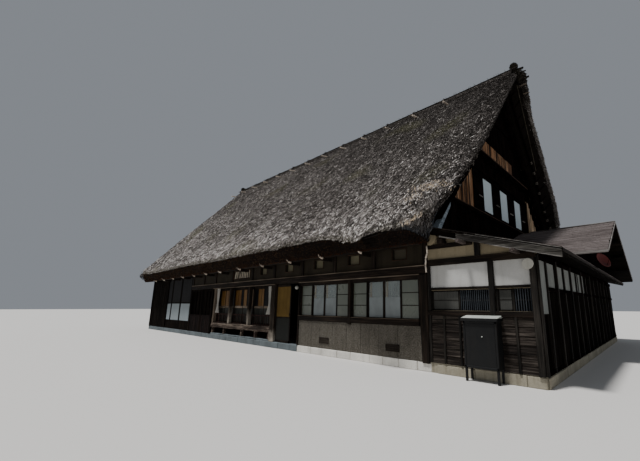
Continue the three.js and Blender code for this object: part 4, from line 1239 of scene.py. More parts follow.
# %% Tied cloths
def tied_cloth(name, x_middle, y, top, bottom, tie, widths):
    """widths: at the top, at the tie and at the hem."""
    bm = bmesh.new()
    bmesh.ops.create_grid(bm, x_segments=96, y_segments=40, size=0.5)
    for v in bm.verts:
        across, down = v.co.x, 0.5 - v.co.y
        z = top + (bottom - top) * down
        width = float(np.interp(-z, (-top, -tie, -bottom), widths))
        pleat = 0.026 * math.sin(across * 2 * math.pi * 9)
        v.co = (x_middle + across * width + 0.01 * math.sin(across * 31), y + pleat * (0.5 + width), z)
    area = sum(f.calc_area() for f in bm.faces)
    print(name, "area", round(area, 3), "length", round(top - bottom, 3),
          "flat width", round(area / (top - bottom), 3))
    piece = add_piece(name, bm, white_cloth, "paper", smooth=True)


tied_cloth("cloth_near", -7.60, 0.10, 2.2, 1.04, 1.44, (0.22, 0.09, 0.40))
tied_cloth("cloth_far", -12.38, 0.10, 2.245, 1.04, 1.44, (0.26, 0.09, 0.36))
bm = bmesh.new()
for x in (-7.58, -12.38):
    pole(bm, (x, 0.10, 1.42), (x, 0.10, 1.46), 0.05, sides=14)
add_piece("cloth_ties", bm, white_cloth, "paper")

# %% [markdown]
# ## Far bays of the front
# Beyond the veranda the front has a dark bay with a reddish dado, then bays with white panels below and dark
# ones above between posts, then plain upright boards.

# %% Dark bay and screens
WEST_X, BOARDS_X = -15.6, -19.46
BAY_LIGHTS = ((-15.45, -14.17), (-14.03, -12.90))
RECESSES = ((-17.12, -15.74), (-18.61, -17.31), (-19.38, -18.77))
reddish = timber("reddish_dado", "z", (0.0015, 0.0008, 0.0007), (0.005, 0.0025, 0.0022),
                 (0.017, 0.009, 0.007),
                 specular=0.06)
screen_grey = rendered("screen_grey", (0.011, 0.011, 0.012), (0.0075, 0.0075, 0.0082), (0.003, 0.003, 0.003),
                       24)
dress(tarred_and_shaded["z"], "west_bay_wall", "west_screen_wall", "west_board_wall")


def upright_boards(x0, x1, z0, z1, y0, y1, width, shift=0.003):
    """Corners of boards that stand side by side, some of them set back by shift."""
    count = max(1, round((x1 - x0) / width))
    step = (x1 - x0) / count
    return [((x0 + k * step + 0.003, y0 + shift * ((k * 7) % 3), z0), (x0 + (k + 1) * step - 0.003, y1, z1))
            for k in range(count)]


boards = upright_boards(-15.44, -12.91, 0.02, 0.88, -0.022, -0.001, 0.21)
boarded("bay_dado", reddish, "dark_timber", boards + [((-15.45, -0.03, 0.86), (-12.90, -0.001, 0.905))],
        edge=0.003)
posts = [((x - 0.065, -0.03, 0.0), (x + 0.065, -0.001, 2.249)) for x in (-15.53, -14.10, -12.82)]
for x0, x1 in BAY_LIGHTS:
    for x in (x0 + (x1 - x0) / 3, x0 + (x1 - x0) * 2 / 3):
        posts.append(((x - 0.02, 0.05, 0.9), (x + 0.02, 0.078, 2.15)))
boarded("bay_posts", tarred_and_shaded["z"], "dark_timber", posts, edge=0.005)
boarded("screen_white_panels", screen_paper, "paper",
        [((x0 + 0.002, 0.012, 0.522), (x1 - 0.002, 0.024, 1.498)) for x0, x1 in RECESSES])
boarded("screen_grey_boards", screen_grey, "grey_board",
        [((x0 + 0.002, 0.012, 1.562), (x1 - 0.002, 0.024, 2.978)) for x0, x1 in RECESSES], edge=0.002)
boarded("west_boards", tarred_and_shaded["z"], "dark_timber",
        upright_boards(FAR_X + 0.16, BOARDS_X - 0.02, 0.02, 3.35, -0.024, -0.001, 0.24)
        + [((FAR_X, -0.05, 0.0), (FAR_X + 0.16, -0.001, 3.55)),
           ((FAR_X, -0.04, 3.35), (WEST_X, -0.001, 3.54)),
           ((BOARDS_X - 0.07, -0.045, 0.0), (BOARDS_X + 0.06, -0.001, 3.5))], edge=0.004)

# %% [markdown]
# ## Stone foot
# Under every wall runs a row of flat stones. Each is a box of its own length with worn edges, pushed a little
# out of line.

# %% Plinth stones
FOOT_DROP, STONE_LENGTHS, LAST_STONE = 0.22, (0.45, 0.95), 0.3


def stones(name, axis, low, high, across, finish, stands_for=()):
    """A row along one axis from low to high; across is its width on the other axis."""
    bm = bmesh.new()
    at = low
    while at < high - 0.01:
        step = min(dice.uniform(*STONE_LENGTHS), high - at)
        if high - at - step < LAST_STONE:
            step = high - at
        out = dice.uniform(0, 0.015)
        a = [at + 0.004, across[0] + out, -FOOT_DROP]
        b = [at + step - 0.004, across[1] - out, -0.0005]
        if axis == "y":
            a[0], a[1], b[0], b[1] = a[1], a[0], b[1], b[0]
        board(bm, a, b)
        at += step
    for v in bm.verts:
        if v.co.z > -FOOT_DROP + 0.01:
            v.co += Vector((*noise.noise_vector(v.co * 3).xy, 0)) * 0.012
    add_piece(name, bm, finish, "stone", stands_for=stands_for, edge=0.014)


stones("stones_front", "x", WINDOW_END, 0.13, (-0.03, 0.23), stone, ["plinth_front"])
stones("stones_veranda", "x", FAR_X - 0.03, WINDOW_END, (-0.03, 0.23), shade_stone)
stones("stones_back", "x", FAR_X - 0.03, 0.13, (DEPTH - 0.23, DEPTH + 0.03), stone, ["plinth_back"])
stones("stones_far", "y", 0.23, DEPTH - 0.23, (FAR_X - 0.03, FAR_X + 0.23), stone, ["plinth_far"])
dress(stone, "plinth_near")

# %% [markdown]
# ## Gable walls
# A gable has a row of paper windows between dark shutters, brown boards beside them and above the upper ledge,
# and dark boards elsewhere. Everything is made for the near gable. The far one gets the same pieces turned over
# at the middle of the house, which a negative scale does.

# %% Boards on a gable
LEDGE_LOW, LEDGE_HIGH = 4.78, 7.09
PAPER_LOW, PAPER_HIGH, PAPER_WIDTH, PAPER_PITCH = 4.938, 6.249, 0.871, 1.784
HOUSE_MIDDLE = (GABLE_X + FAR_X) / 2
WALL_X = GABLE_X + 0.0008
# The tan and grey boards are made far paler than their wood: painted sunlight on a gable that faces away from
# the sun.
gable_tan = timber("gable_tan", "z", (0.06, 0.026, 0.012), (0.34, 0.17, 0.08), (0.80, 0.54, 0.34), stripes=15)
gable_grey = timber("gable_grey", "z", (0.22, 0.14, 0.085), (0.72, 0.52, 0.33), (0.85, 0.70, 0.52), stripes=9)
gable_dark = timber_set("gable_dark", (0.0015, 0.0012, 0.0012), (0.004, 0.003, 0.003), (0.014, 0.009, 0.008),
                        0.0)
latch_wood = timber_set("latch_wood", (0.07, 0.065, 0.06), (0.19, 0.178, 0.165), (0.36, 0.34, 0.32))


def turn_over(bm, axis, middle):
    """Mirrors a piece at the plane where the given axis has the value middle."""
    factor, shift = Vector((1, 1, 1)), Vector((0, 0, 0))
    factor[axis] = -1
    shift[axis] = -middle
    bmesh.ops.scale(bm, vec=factor, space=Matrix.Translation(shift), verts=bm.verts)


def roof_under(y):
    return WALL_TOP + PITCH * min(y, DEPTH - y)


def clad(span, low, high, width, thick=0.014, gap=0.004):
    """Corners of upright boards side by side, cut off under the roof."""
    count = round((span[1] - span[0]) / width)
    step = (span[1] - span[0]) / count
    boards = []
    for k in range(count):
        y = span[0] + k * step
        top = min(high, roof_under(y) - 0.03, roof_under(y + step) - 0.03)
        if top > low + 0.05:
            boards.append(((WALL_X, y + gap, low),
                           (GABLE_X + thick + 0.004 * (k * 5 % 3), y + step - gap, top)))
    return boards


def add_gable_piece(name, finish, slot, near, far=None, hew=(), edge=0.003, stands_for=""):
    """Boards on the near gable, and the same or others turned over on the far one."""
    for end, corners in (("near", near), ("far", far or near)):
        bm = boards_of(corners, hew)
        if end == "far":
            turn_over(bm, 0, HOUSE_MIDDLE)
        replaced = [f"{end}_{stands_for}"] if stands_for else ()
        add_piece(f"{end}_{name}", bm, finish, slot, stands_for=replaced, edge=edge)


for end in ("near", "far"):
    dress(gable_dark["z"], *(f"{end}_gable_{level}" for level in ("lower", "middle", "upper")))

# %% Cladding of a gable
# The dark boards above the tan, brown and grey ones are painted shadow of the thatch, and the lighter boards
# stop where that shadow begins.
above = LEDGE_HIGH + 0.09
upper_painted_shadow = (clad((1.2, 9.6), 6.56, LEDGE_HIGH - 0.14, 0.3) + clad((9.6, 11.6), 6.56, LEDGE_HIGH - 0.14, 0.3)
              + clad((3.4, 9.4), 8.22, 10.8, 0.3) + clad((7.9, 9.4), above, 8.2, 0.3))
near_dark, far_dark = (clad((0.3, DEPTH - 0.3), low, LEDGE_LOW - 0.15, 0.31) + upper_painted_shadow
                       for low in (3.5, 0.02))
tan_boards = clad((1.05, 3.27), LEDGE_LOW + 0.005, 6.5, 0.17, 0.02, 0.014) + clad((4.5, 7.3), above, 8.0, 0.2,
                                                                                  0.02, 0.012)
grey_boards = clad((9.57, 11.75), LEDGE_LOW + 0.005, 6.62, 0.24, 0.02, 0.008)
brown_boards = clad((3.45, 4.5), above, 8.0, 0.2, 0.02, 0.012) + clad((7.3, 7.85), above, 8.0, 0.2, 0.02,
                                                                      0.012)
add_gable_piece("gable_dark_boards", gable_dark["z"], "dark_timber", near_dark, far_dark)
add_gable_piece("gable_tan_boards", gable_tan, "brown_board", tan_boards)
add_gable_piece("gable_grey_boards", gable_grey, "brown_board", grey_boards)
add_gable_piece("gable_brown_boards", brown["z"], "brown_board", brown_boards)
print("boards on the near gable", len(near_dark + tan_boards + grey_boards + brown_boards))

# %% Frames, papers and brackets of a gable
reach = PAPER_PITCH + PAPER_WIDTH / 2 + 0.95
frames = [((WALL_X, RIDGE_Y - reach, low), (GABLE_X + thick, RIDGE_Y + reach, high))
          for low, high, thick in ((4.845, 4.93, 0.045), (6.257, 6.35, 0.045), (6.42, 6.54, 0.075))]
for y in (RIDGE_Y + (i - 0.5) * PAPER_PITCH for i in range(-1, 3)):
    frames.append(((WALL_X, y - 0.44, 4.935), (WALL_X + 0.022, y + 0.44, 6.252)))
    frames += [((WALL_X, y + side, 4.93), (WALL_X + 0.032, y + side + 0.035, 6.257))
               for side in (-0.455, -0.02, 0.42)]
for y in (RIDGE_Y - reach, RIDGE_Y + reach - 0.12):
    frames.append(((WALL_X, y, LEDGE_LOW + 0.005), (GABLE_X + 0.065, y + 0.12, 6.42)))
frames.append(((WALL_X, 4.9, 9.27), (GABLE_X + 0.10, 7.9, 9.43)))
latches = [((GABLE_X + 0.025, y - 0.17, 5.42), (GABLE_X + 0.06, y + 0.17, 5.455))
           for y in (3.87, 5.58, 7.25, 8.95)]
half = PAPER_WIDTH / 2
papers = [((GABLE_X + 0.001, y - half, PAPER_LOW), (GABLE_X + 0.008, y + half, PAPER_HIGH))
          for y in (RIDGE_Y - PAPER_PITCH, RIDGE_Y, RIDGE_Y + PAPER_PITCH)]
brackets = []
for y in places(1.5, DEPTH - 1.4, 0.61):
    brackets.append(((WALL_X, y - 0.05, 4.50), (GABLE_X + 0.10, y + 0.05, 4.637)))
    if 3.6 < y < DEPTH - 3.6:
        brackets.append(((WALL_X, y - 0.05, LEDGE_HIGH - 0.14), (GABLE_X + 0.24, y + 0.05, LEDGE_HIGH)))
ledge_edges = [((GABLE_X + 0.122, 1.31, 4.745), (GABLE_X + 0.134, DEPTH - 1.31, 4.783)),
               ((GABLE_X + 0.262, 3.51, LEDGE_HIGH + 0.035),
                (GABLE_X + 0.274, DEPTH - 3.51, LEDGE_HIGH + 0.083))]
add_gable_piece("gable_frame", gable_dark["y"], "dark_timber", frames, edge=0.004)
add_gable_piece("gable_latches", latch_wood["y"], "weathered_timber", latches)
add_gable_piece("gable_paper", window_paper, "paper", papers, edge=0, stands_for="gable_windows")
add_gable_piece("gable_brackets", gable_dark["x"], "dark_timber", brackets, edge=0.006)
add_gable_piece("ledge_edges", frame_brown["y"], "weathered_timber", ledge_edges, hew=(0.008, 0.5))

# %% [markdown]
# ## Timbers under the verges
# Under each of the four verges lie a hewn rafter and a log with short cross poles tied to it; under the back
# verges a thin tan pole also lies near the ridge. The rope lashings are the pale dots that show in the shade.

# %% Rafters, logs, cross poles and ropes
rope = rendered("rope", (0.24, 0.22, 0.19), (0.15, 0.13, 0.11), (0.06, 0.05, 0.04), grain=120)
tan_pole_wood = timber_set("tan_pole", (0.022, 0.019, 0.013), (0.065, 0.057, 0.042), (0.13, 0.118, 0.09))


def near_under(x, y, drop):
    """A point under the front verge at the near end."""
    return (x, y, float(under_z(x, y)) - drop)


def verge_rafter(bm):
    for v in board(bm, (0.3, 0.2, 0), (0.48, RIDGE_Y - 0.012, 1)):
        v.co.z = roof_under(v.co.y) - (0.002 if v.co.z > 0.5 else 0.2)
    split_long(bm, 1, 20)
    for v in bm.verts:
        if v.co.z < roof_under(v.co.y) - 0.1:
            v.co += noise.noise_vector(v.co * 1.4) * 0.02


def rafter_foot(bm):
    for v in board(bm, (0.292, -0.06, 0), (0.488, 0.74, 1)):
        v.co.z = roof_under(v.co.y) - (0.06 if v.co.z > 0.5 else 0.31 - 0.13 * (v.co.y > 0.3))


def cross_poles(bm):
    for y in np.arange(0.75, RIDGE_Y, 0.36):
        pole(bm, near_under(0.05, y, 0.03), near_under(0.45, y, 0.03), 0.032, sides=8)
        end = near_under(1.0 + 0.06 * math.sin(y * 9), y, 0.02)
        pole(bm, near_under(0.45, y, 0.03), end, 0.032, 0.026, sides=8)
    depths = np.linspace(0.6, RIDGE_Y - 0.05, 9)
    bent_pole(bm, [near_under(0.74 + 0.02 * math.sin(y * 2), y, 0.10) for y in depths], 0.048)


def lashings(bm):
    along = Vector((0, math.cos(SLOPE), math.sin(SLOPE)))
    for y in np.arange(0.75, 4.3, 0.36):
        for x, drop, radius in ((0.74 + 0.02 * math.sin(y * 2), 0.09, 0.058), (0.30, 0.06, 0.045)):
            spot = Vector(near_under(x, y, drop))
            for shift in (-0.045, 0.03):
                pole(bm, spot + along * shift, spot + along * (shift + 0.028), radius, sides=8)


def thin_pole(bm):
    depths = (3.6, 4.2, 4.9, 5.6, 6.25)
    bent_pole(bm, [near_under(0.86 + 0.05 * k, y, 0.07) for k, y in enumerate(depths)], 0.012)

# %% The same under all four verges
def add_verge_piece(name, build, finish, slot, edge=0.0, stands_for="", sides=("front", "back")):
    for end in ("near", "far"):
        for side in sides:
            bm = bmesh.new()
            build(bm)
            if end == "far":
                turn_over(bm, 0, HOUSE_MIDDLE)
            if side == "back":
                turn_over(bm, 1, RIDGE_Y)
            replaced = [f"{end}_{stands_for}_{side}"] if stands_for else ()
            add_piece(f"{end}_{name}_{side}", bm, finish, slot, edge=edge, stands_for=replaced)


add_verge_piece("rafter_hewn", verge_rafter, gable_dark["y"], "dark_timber", 0.01, "verge_rafter")
# The pale blue of the rafter feet is painted light from the sky on their lit faces.
sky_lit_foot_wood = timber("sky_lit_foot_wood", "y", (0.07, 0.09, 0.105), (0.20, 0.245, 0.285), (0.36, 0.42, 0.47))
add_verge_piece("rafter_foot", rafter_foot, sky_lit_foot_wood, "weathered_timber", 0.006)
add_verge_piece("cross_poles", cross_poles, gable_dark["x"], "dark_timber")
add_verge_piece("lashings", lashings, rope, "ridge_straw")
add_verge_piece("thin_pole", thin_pole, tan_pole_wood["y"], "weathered_timber", sides=("back",))

# %% [markdown]
# ## Ridge
# Bundles of old straw cover the ridge. Long poles press them down, cross poles go through the thatch below and
# are tied to them, and at the near end a tuft of straw and the ends of the poles stick out.

# %% Straw on the ridge
ridge_dark = thatch_finish("ridge_reed", MOSS)
RIDGE_HALF, RIDGE_END = 0.3, 0.98
KNOTS = np.arange(-2.45, FAR_X - 1.1, -1.86)


def ridge_z(y):
    """Top of the straw across the ridge: rounded at the top."""
    away = abs(y - RIDGE_Y)
    return RIDGE_Z + 0.07 - PITCH * (math.hypot(away, 0.1) - 0.1)


bm = bmesh.new()
bmesh.ops.create_grid(bm, x_segments=150, y_segments=12, size=0.5)
for v in bm.verts:
    x = MIDDLE_X + v.co.x * 2 * (RIDGE_END - MIDDLE_X)
    y = RIDGE_Y + v.co.y * 2 * RIDGE_HALF
    sag = 0.03 * noise.noise(Vector((x * 0.5, 0, 3))) + 0.03 * noise.noise(Vector((x * 2.6, y * 2, 5)))
    v.co = (x, y, ridge_z(y) + sag - 0.02)
bmesh.ops.translate(bm, verts=extruded(bm, bm.faces[:]), vec=(0, 0, -0.12))
add_piece("ridge_coat", bm, thatch_coat, "ridge_straw", stands_for=["ridge_saddle"])

count = 3600
x = MIDDLE_X + dice.uniform(-1, 1, count) * (RIDGE_END + 0.04 - MIDDLE_X)
y = RIDGE_Y + dice.uniform(-1, 1, count) * RIDGE_HALF
side = np.sign(y - RIDGE_Y)
z = np.array([ridge_z(b) for b in y]) + dice.uniform(-0.02, 0.02, count)
spots = columns(x, y, z)
steep = np.clip(np.abs(y - RIDGE_Y) / 0.25, 0.2, 1)
aims = columns(dice.normal(0, 0.2, count), side * 0.75, -0.75 * steep + dice.uniform(0.02, 0.2, count))
ups = columns(0, side * 0.7, 0.7 + 0 * side)
sizes = stick_sizes(count, (0.12, 0.28), (0.014, 0.028), (0.012, 0.02))
shades = np.clip(dice.normal(0.26, 0.12, count), 0, 1)
lay("ridge_reeds", spots, aims, ups, sizes, shades, 0.3 * dice.random(count), ridge_dark)

# %% Tufts: a big one at each end of the ridge, and a small one at every cross pole
def tufts(name, at, count, size, tall, shade, z=RIDGE_Z + 0.06):
    """Bunches of straw that stand up from the ridge at the given values of X."""
    spread = dice.normal(0, 1, (count * len(at), 3))
    spread /= np.maximum(1, np.linalg.norm(spread, axis=1, keepdims=True) / 1.7)
    spots = columns(np.repeat(at, count), RIDGE_Y, z + tall) + spread * (size, size, tall)
    aims = columns(spread[:, 0] * 0.7, spread[:, 1] * 0.6, 1.0 + 0 * spread[:, 2])
    sizes = columns(dice.uniform(0.5, 2.3, len(spots)) * size, dice.uniform(0.014, 0.034, len(spots)), 0.02)
    shades = np.clip(dice.normal(shade, 0.12, len(spots)), 0, 1)
    lay(name, spots, aims, np.tile((0.0, 1.0, 0.1), (len(spots), 1)), sizes, shades,
        dice.random(len(spots)) * shade,
        ridge_dark)


tufts("ridge_tufts_end", (1.03, 2 * HOUSE_MIDDLE - 1.03), 560, 0.11, 0.11, 0.14)
tufts("ridge_tufts_small", KNOTS, 44, 0.085, 0.04, 0.2)
tufts("ridge_end_knots", (1.2, 2 * HOUSE_MIDDLE - 1.2), 420, 0.13, 0.16, 0.06, RIDGE_Z - 0.5)

# %% Ridge poles, cross poles and their pale ends
bm, ends, ties = bmesh.new(), bmesh.new(), bmesh.new()
for side in (-1, 1):
    y = RIDGE_Y + side * 0.24
    along = np.linspace(FAR_X - 1.22, 1.36 + 0.1 * side, 27)
    bent_pole(bm, [(x, y, ridge_z(y) + 0.02 + 0.01 * math.sin(x)) for x in along], 0.03, 7)
pole(bm, (0.4, RIDGE_Y + 0.05, 11.97), (1.42, RIDGE_Y + 0.02, 11.8), 0.045, sides=8)
for x in KNOTS:
    for side in (-1, 1):
        foot = (x + 0.05 * side, RIDGE_Y + side * 0.42, ridge_z(RIDGE_Y + side * 0.42) + 0.05)
        head = (x - 0.03 * side, RIDGE_Y - side * 0.05, RIDGE_Z + 0.15)
        pole(ends, foot, head, 0.022, 0.016, sides=7)
    pole(ties, (x - 0.04, RIDGE_Y, RIDGE_Z + 0.08), (x + 0.04, RIDGE_Y, RIDGE_Z + 0.08), 0.05, sides=9)
add_piece("ridge_poles", bm, smoked["x"], "dark_timber")
add_piece("ridge_cross_poles", ends, worn_and_lit_edge["y"], "weathered_timber")
add_piece("ridge_knots", ties, thatch_coat, "ridge_straw")

bm, tips = bmesh.new(), bmesh.new()
for x in np.arange(ARM_FIRST, FAR_X - 1.2, -ARM_PITCH):
    for side in (-1, 1):
        root = Vector((x, RIDGE_Y + side * 0.55, RIDGE_Z - 0.66))
        tip = Vector((x, RIDGE_Y + side * 1.02, RIDGE_Z - 0.74))
        pole(tips, root, tip, 0.05, 0.042, sides=8)
add_piece("ridge_pole_tips", tips, pale_cut_and_sunlit["y"], "weathered_timber")
for start, end in (((1.17, 6.35, 10.90), (1.5, 6.35, 10.92)), ((1.2, 6.9, 10.84), (1.46, 6.92, 10.82))):
    pole(bm, start, end, 0.026, 0.022, sides=8)
add_piece("ridge_end_poles", bm, worn_and_lit_edge["x"], "weathered_timber")
bm = bmesh.new()
pole(bm, (0.5, 6.78, 11.50), (1.52, 6.84, 11.56), 0.04, 0.045, sides=8)
add_piece("ridge_end_dark_pole", bm, smoked["x"], "dark_timber")

# %% [markdown]
# ## Lean-to
# The front of the lean-to has white plaster panels between dark timbers, cream plaster above two beams, a band
# of lattice windows, and weathered boards that lap over each other below the sill.

# %% Plaster panels
LEAN_X, LEAN_EAVE_X = 2.78, 3.33
SIDE_X = LEAN_X + 0.0005
SIDE_PANELS = ((0.72, 1.39), (1.55, 2.28), (2.44, 3.34), (3.52, 4.36), (4.54, 5.36))
shaded_plaster = rendered("shaded_plaster", (0.25, 0.265, 0.25), (0.18, 0.19, 0.18), (0.09, 0.09, 0.08))
# The vent disc is painted a little darker than the white panels: painted shade.
dull_plaster = rendered("dull_plaster", (0.46, 0.45, 0.40), (0.36, 0.35, 0.31), (0.20, 0.18, 0.14))
dress(cream_plaster, "leanto_front_wall")
dress(gable_dark["z"], "leanto_side_wall")
dress(smoked["z"], "leanto_back_wall")

boarded("leanto_side_panels", shaded_plaster, "plaster",
        [((SIDE_X, 0.015, 1.25), (LEAN_X + 0.008, 0.56, 2.4))]
        + [((SIDE_X, y0, 1.84), (LEAN_X + 0.008, y1, 2.4)) for y0, y1 in SIDE_PANELS])
boarded("leanto_white_panels", white_plaster, "plaster",
        [((x0, 0.001, 1.86), (x1, 0.0095, 2.45)) for x0, x1 in ((0.12, 1.75), (1.86, 2.65))])
bm = bmesh.new()
pole(bm, (2.63, -0.105, 2.31), (2.63, -0.0765, 2.31), 0.12, sides=28)
add_piece("leanto_vent_disc", bm, dull_plaster, "plaster", edge=0.01)


def lean_top(x):
    return LEAN_HIGH - LEAN_FALL * (x - GABLE_X)


# %% Timbers of the front
grey_post = timber_set("grey_post", (0.003, 0.0025, 0.002), (0.010, 0.0085, 0.007), (0.04, 0.034, 0.028))
boarded("leanto_beams", smoked["x"], "dark_timber",
        (((0.102, -0.05, 2.44), (2.76, -0.0005, 2.605)), ((0.102, -0.04, 2.885), (1.38, -0.0005, 3.0)),
         ((0.102, -0.035, 1.805), (2.65, -0.0005, 1.865)), ((0.102, -0.06, 1.175), (2.65, -0.0005, 1.298)),
         ((0.52, -0.20, 2.98), (0.68, -0.0005, 3.14))), (0.01, 0.4), edge=0.008)
posts = [((0.104, -0.045, 0.03), (0.19, -0.0005, 2.44)), ((1.735, -0.065, 1.17), (1.862, -0.0005, 2.45)),
         ((1.43, -0.05, 2.6), (1.57, -0.0005, 2.97)), ((2.64, -0.07, 0.022), (2.775, -0.0005, 2.45))]
posts += [((x - 0.028, -0.058, 0.03), (x + 0.028, -0.03, 1.18)) for x in (0.55, 0.97, 1.36, 1.80, 2.28)]
boarded("leanto_posts", grey_post["z"], "dark_timber", posts, (0.01, 0.7), edge=0.008)

# %% Lapped boards below the sill
LAP_ROWS, LAP_HIGH = 6, 1.15
bm = bmesh.new()
for k in range(LAP_ROWS):
    low = 0.025 + k * LAP_HIGH / LAP_ROWS
    for x0, x1 in ((0.19, 0.97), (0.97, 1.80), (1.80, 2.64)):
        for v in board(bm, (x0 + 0.002, -0.028, low),
                       (x1 - 0.002, -0.006, low + LAP_HIGH / LAP_ROWS + 0.012)):
            if v.co.z > low + 0.1:
                v.co.y += 0.005 if v.co.y > -0.02 else 0.016
hewn(bm, 0.004, 0.3)
lap_wood = timber("lap_wood", "x", (0.004, 0.003, 0.0026), (0.018, 0.0135, 0.011), (0.10, 0.083, 0.068), 0.9,
                  0.008)
add_piece("leanto_lapped_boards", bm, lap_wood, "grey_board", edge=0.003)

# %% Lattice windows
lattice, bars, backing, behind = (bmesh.new() for _ in range(4))
for frame_x, bars_x in (((0.205, 0.955), (0.985, 1.72)), ((1.905, 2.225), (2.265, 2.63))):
    frame_round(lattice, frame_x[0] + 0.03, frame_x[1] - 0.03, 1.335, 1.765, 0.03, 0.06, 0.03)
    board(backing, (frame_x[0] + 0.02, 0.044, 1.32), (frame_x[1] - 0.02, 0.05, 1.78))
    board(lattice, (frame_x[1], 0.012, 1.301), (bars_x[0], 0.075, 1.799))
    board(lattice, (frame_x[0] + 0.03, 0.036, 1.545), (frame_x[1] - 0.03, 0.058, 1.56))
    count = round((bars_x[1] - bars_x[0]) / 0.05)
    for k in range(count):
        x = bars_x[0] + (k + 0.5) * (bars_x[1] - bars_x[0]) / count
        board(bars, (x - 0.0075, 0.015, 1.301), (x + 0.0075, 0.032, 1.799))
    board(lattice, (bars_x[0], 0.034, 1.53), (bars_x[1], 0.052, 1.56))
    board(behind, (bars_x[0], 0.09, 1.305), (bars_x[1], 0.096, 1.795))
    for k in range(1, 9):
        x = frame_x[0] + k * (frame_x[1] - frame_x[0]) / 9
        board(backing, (x - 0.004, 0.040, 1.335), (x + 0.004, 0.046, 1.765))
for x0, x1 in ((0.188, 0.206), (1.718, 1.738), (1.86, 1.908), (2.628, 2.645)):
    board(lattice, (x0, -0.003, 1.299), (x1, 0.07, 1.802))
add_piece("lattice_frames", lattice, grey_post["z"], "dark_timber", stands_for=["leanto_lattice"])
bar_wood = timber("bar_wood", "z", (0.013, 0.015, 0.018), (0.04, 0.046, 0.053), (0.082, 0.092, 0.103))
add_piece("lattice_bars", bars, bar_wood, "weathered_timber")
lattice_pane = pane_finish("lattice_pane", (0.06, 0.06, 0.053), (0.043, 0.043, 0.038), 0.6, 0.3)
add_piece("lattice_panes", backing, lattice_pane, "glass")
# A black sheet behind the bars: painted shade of the dark room behind.
add_piece("lattice_dark_backs", behind, black_pane, "glass")

# %% Side wall
# Near-black boards: the wood's tone darkened as painted shade on a side wall that lies in deep shade.
side_boards = timber("side_boards", "z", (0.0015, 0.0012, 0.001), (0.005, 0.0042, 0.0036),
                     (0.018, 0.015, 0.013),
                     0.95, specular=0.0)
boarded("side_rails", gable_dark["y"], "dark_timber",
        (((SIDE_X, 0.58, 1.74), (LEAN_X + 0.05, DEPTH - 0.05, 1.83)),
         ((SIDE_X, 0.0, 2.4), (LEAN_X + 0.05, DEPTH - 0.05, 2.52)),
         ((SIDE_X, 0.0, 0.022), (LEAN_X + 0.04, DEPTH - 0.05, 0.10))), (0.008, 0.7), edge=0.006)
posts = [((SIDE_X, -0.04, 0.022), (LEAN_X + 0.05, 0.012, 2.5))]
y, k = 0.58, 0
while y < DEPTH - 0.2:
    posts.append(((SIDE_X, y, 0.022), (LEAN_X + 0.045 + 0.012 * (k % 2), y + 0.075, 2.5)))
    y += 0.83 if 0.6 < y < 6 else 0.92
    k += 1
boarded("side_posts", grey_post["z"], "dark_timber", posts, edge=0.005)
boards = [((SIDE_X, 0.014, 0.10), (LEAN_X + 0.014, 0.28, 1.245)),
          ((SIDE_X, 0.286, 0.10), (LEAN_X + 0.017, 0.56, 1.245))]
for at in places(0.58, DEPTH - 0.1, 0.206):
    shift = 0.003 * (round(at * 100) % 3)
    boards.append(((SIDE_X, at, 0.10), (LEAN_X + 0.014 + shift, at + 0.2, 1.74)))
boards += [((SIDE_X, at, 1.83), (LEAN_X + 0.014, at + 0.2, 2.4)) for at in places(5.45, DEPTH - 0.1, 0.206)]
boarded("side_boards", side_boards, "grey_board", boards, edge=0.003)

# %% [markdown]
# ## Roofs of the lean-to and the annex
# Both are covered with rows of thin boards. The solids of the roofs stay, dressed in dark wood, and the rows
# lie on them like shingles, each row lifted a little at its lower edge. Verge and eave get pale board edges.

# %% Shingles
shingle_wood = timber("shingle_wood", "y", (0.04, 0.029, 0.027), (0.11, 0.09, 0.085), (0.24, 0.205, 0.195),
                      0.95, 0.01)
shingle_across = timber("shingle_across", "x", (0.042, 0.03, 0.028), (0.125, 0.104, 0.098),
                        (0.26, 0.225, 0.215),
                        0.95, 0.01)
# Under the roofs this near black is painted shade, where the pale floor would light the undersides.
dress(tarred_and_shaded["x"], "leanto_roof", "annex_roof_front", "annex_roof_back")


def shingles(bm, corner, along, down, length, run, row, width, skip=lambda spot: False):
    """Rows of boards from the eave up; down is the direction of fall, along runs across it."""
    along, down = Vector(along).normalized(), Vector(down).normalized()
    out = along.cross(down)
    out = out if out.z > 0 else -out
    turn = Matrix((along, down, out)).transposed().to_4x4()
    rows = round(run / row)
    row = run / rows
    for r in range(rows):
        at = -width * float(dice.random())
        while at < length:
            step = width * float(dice.uniform(0.7, 1.3))
            a, b = max(at, 0), min(at + step, length)
            centre = Vector(corner) + along * (a + b) / 2 + down * (r + 0.5) * row
            if b - a > 0.03 and not skip(centre):
                place = Matrix.Translation(centre + out * 0.014) @ turn @ Matrix.Rotation(0.055, 4, "X")
                size = Matrix.Diagonal((b - a - 0.006, row * 1.12, 0.012 + 0.006 * float(dice.random()), 1))
                bmesh.ops.create_cube(bm, size=1, matrix=place @ size)
            at += step

# %% Rows on both roofs
ANNEX_EDGE, ANNEX_RIDGE = 3.7, (8.1, 4.66)
ANNEX_FRONT, ANNEX_BACK = (4.2, 3.06), (13.56, 2.72)


def annex_top(y):
    eave = ANNEX_FRONT if y < ANNEX_RIDGE[0] else ANNEX_BACK
    return ANNEX_RIDGE[1] + (eave[1] - ANNEX_RIDGE[1]) * (y - ANNEX_RIDGE[0]) / (eave[0] - ANNEX_RIDGE[0])


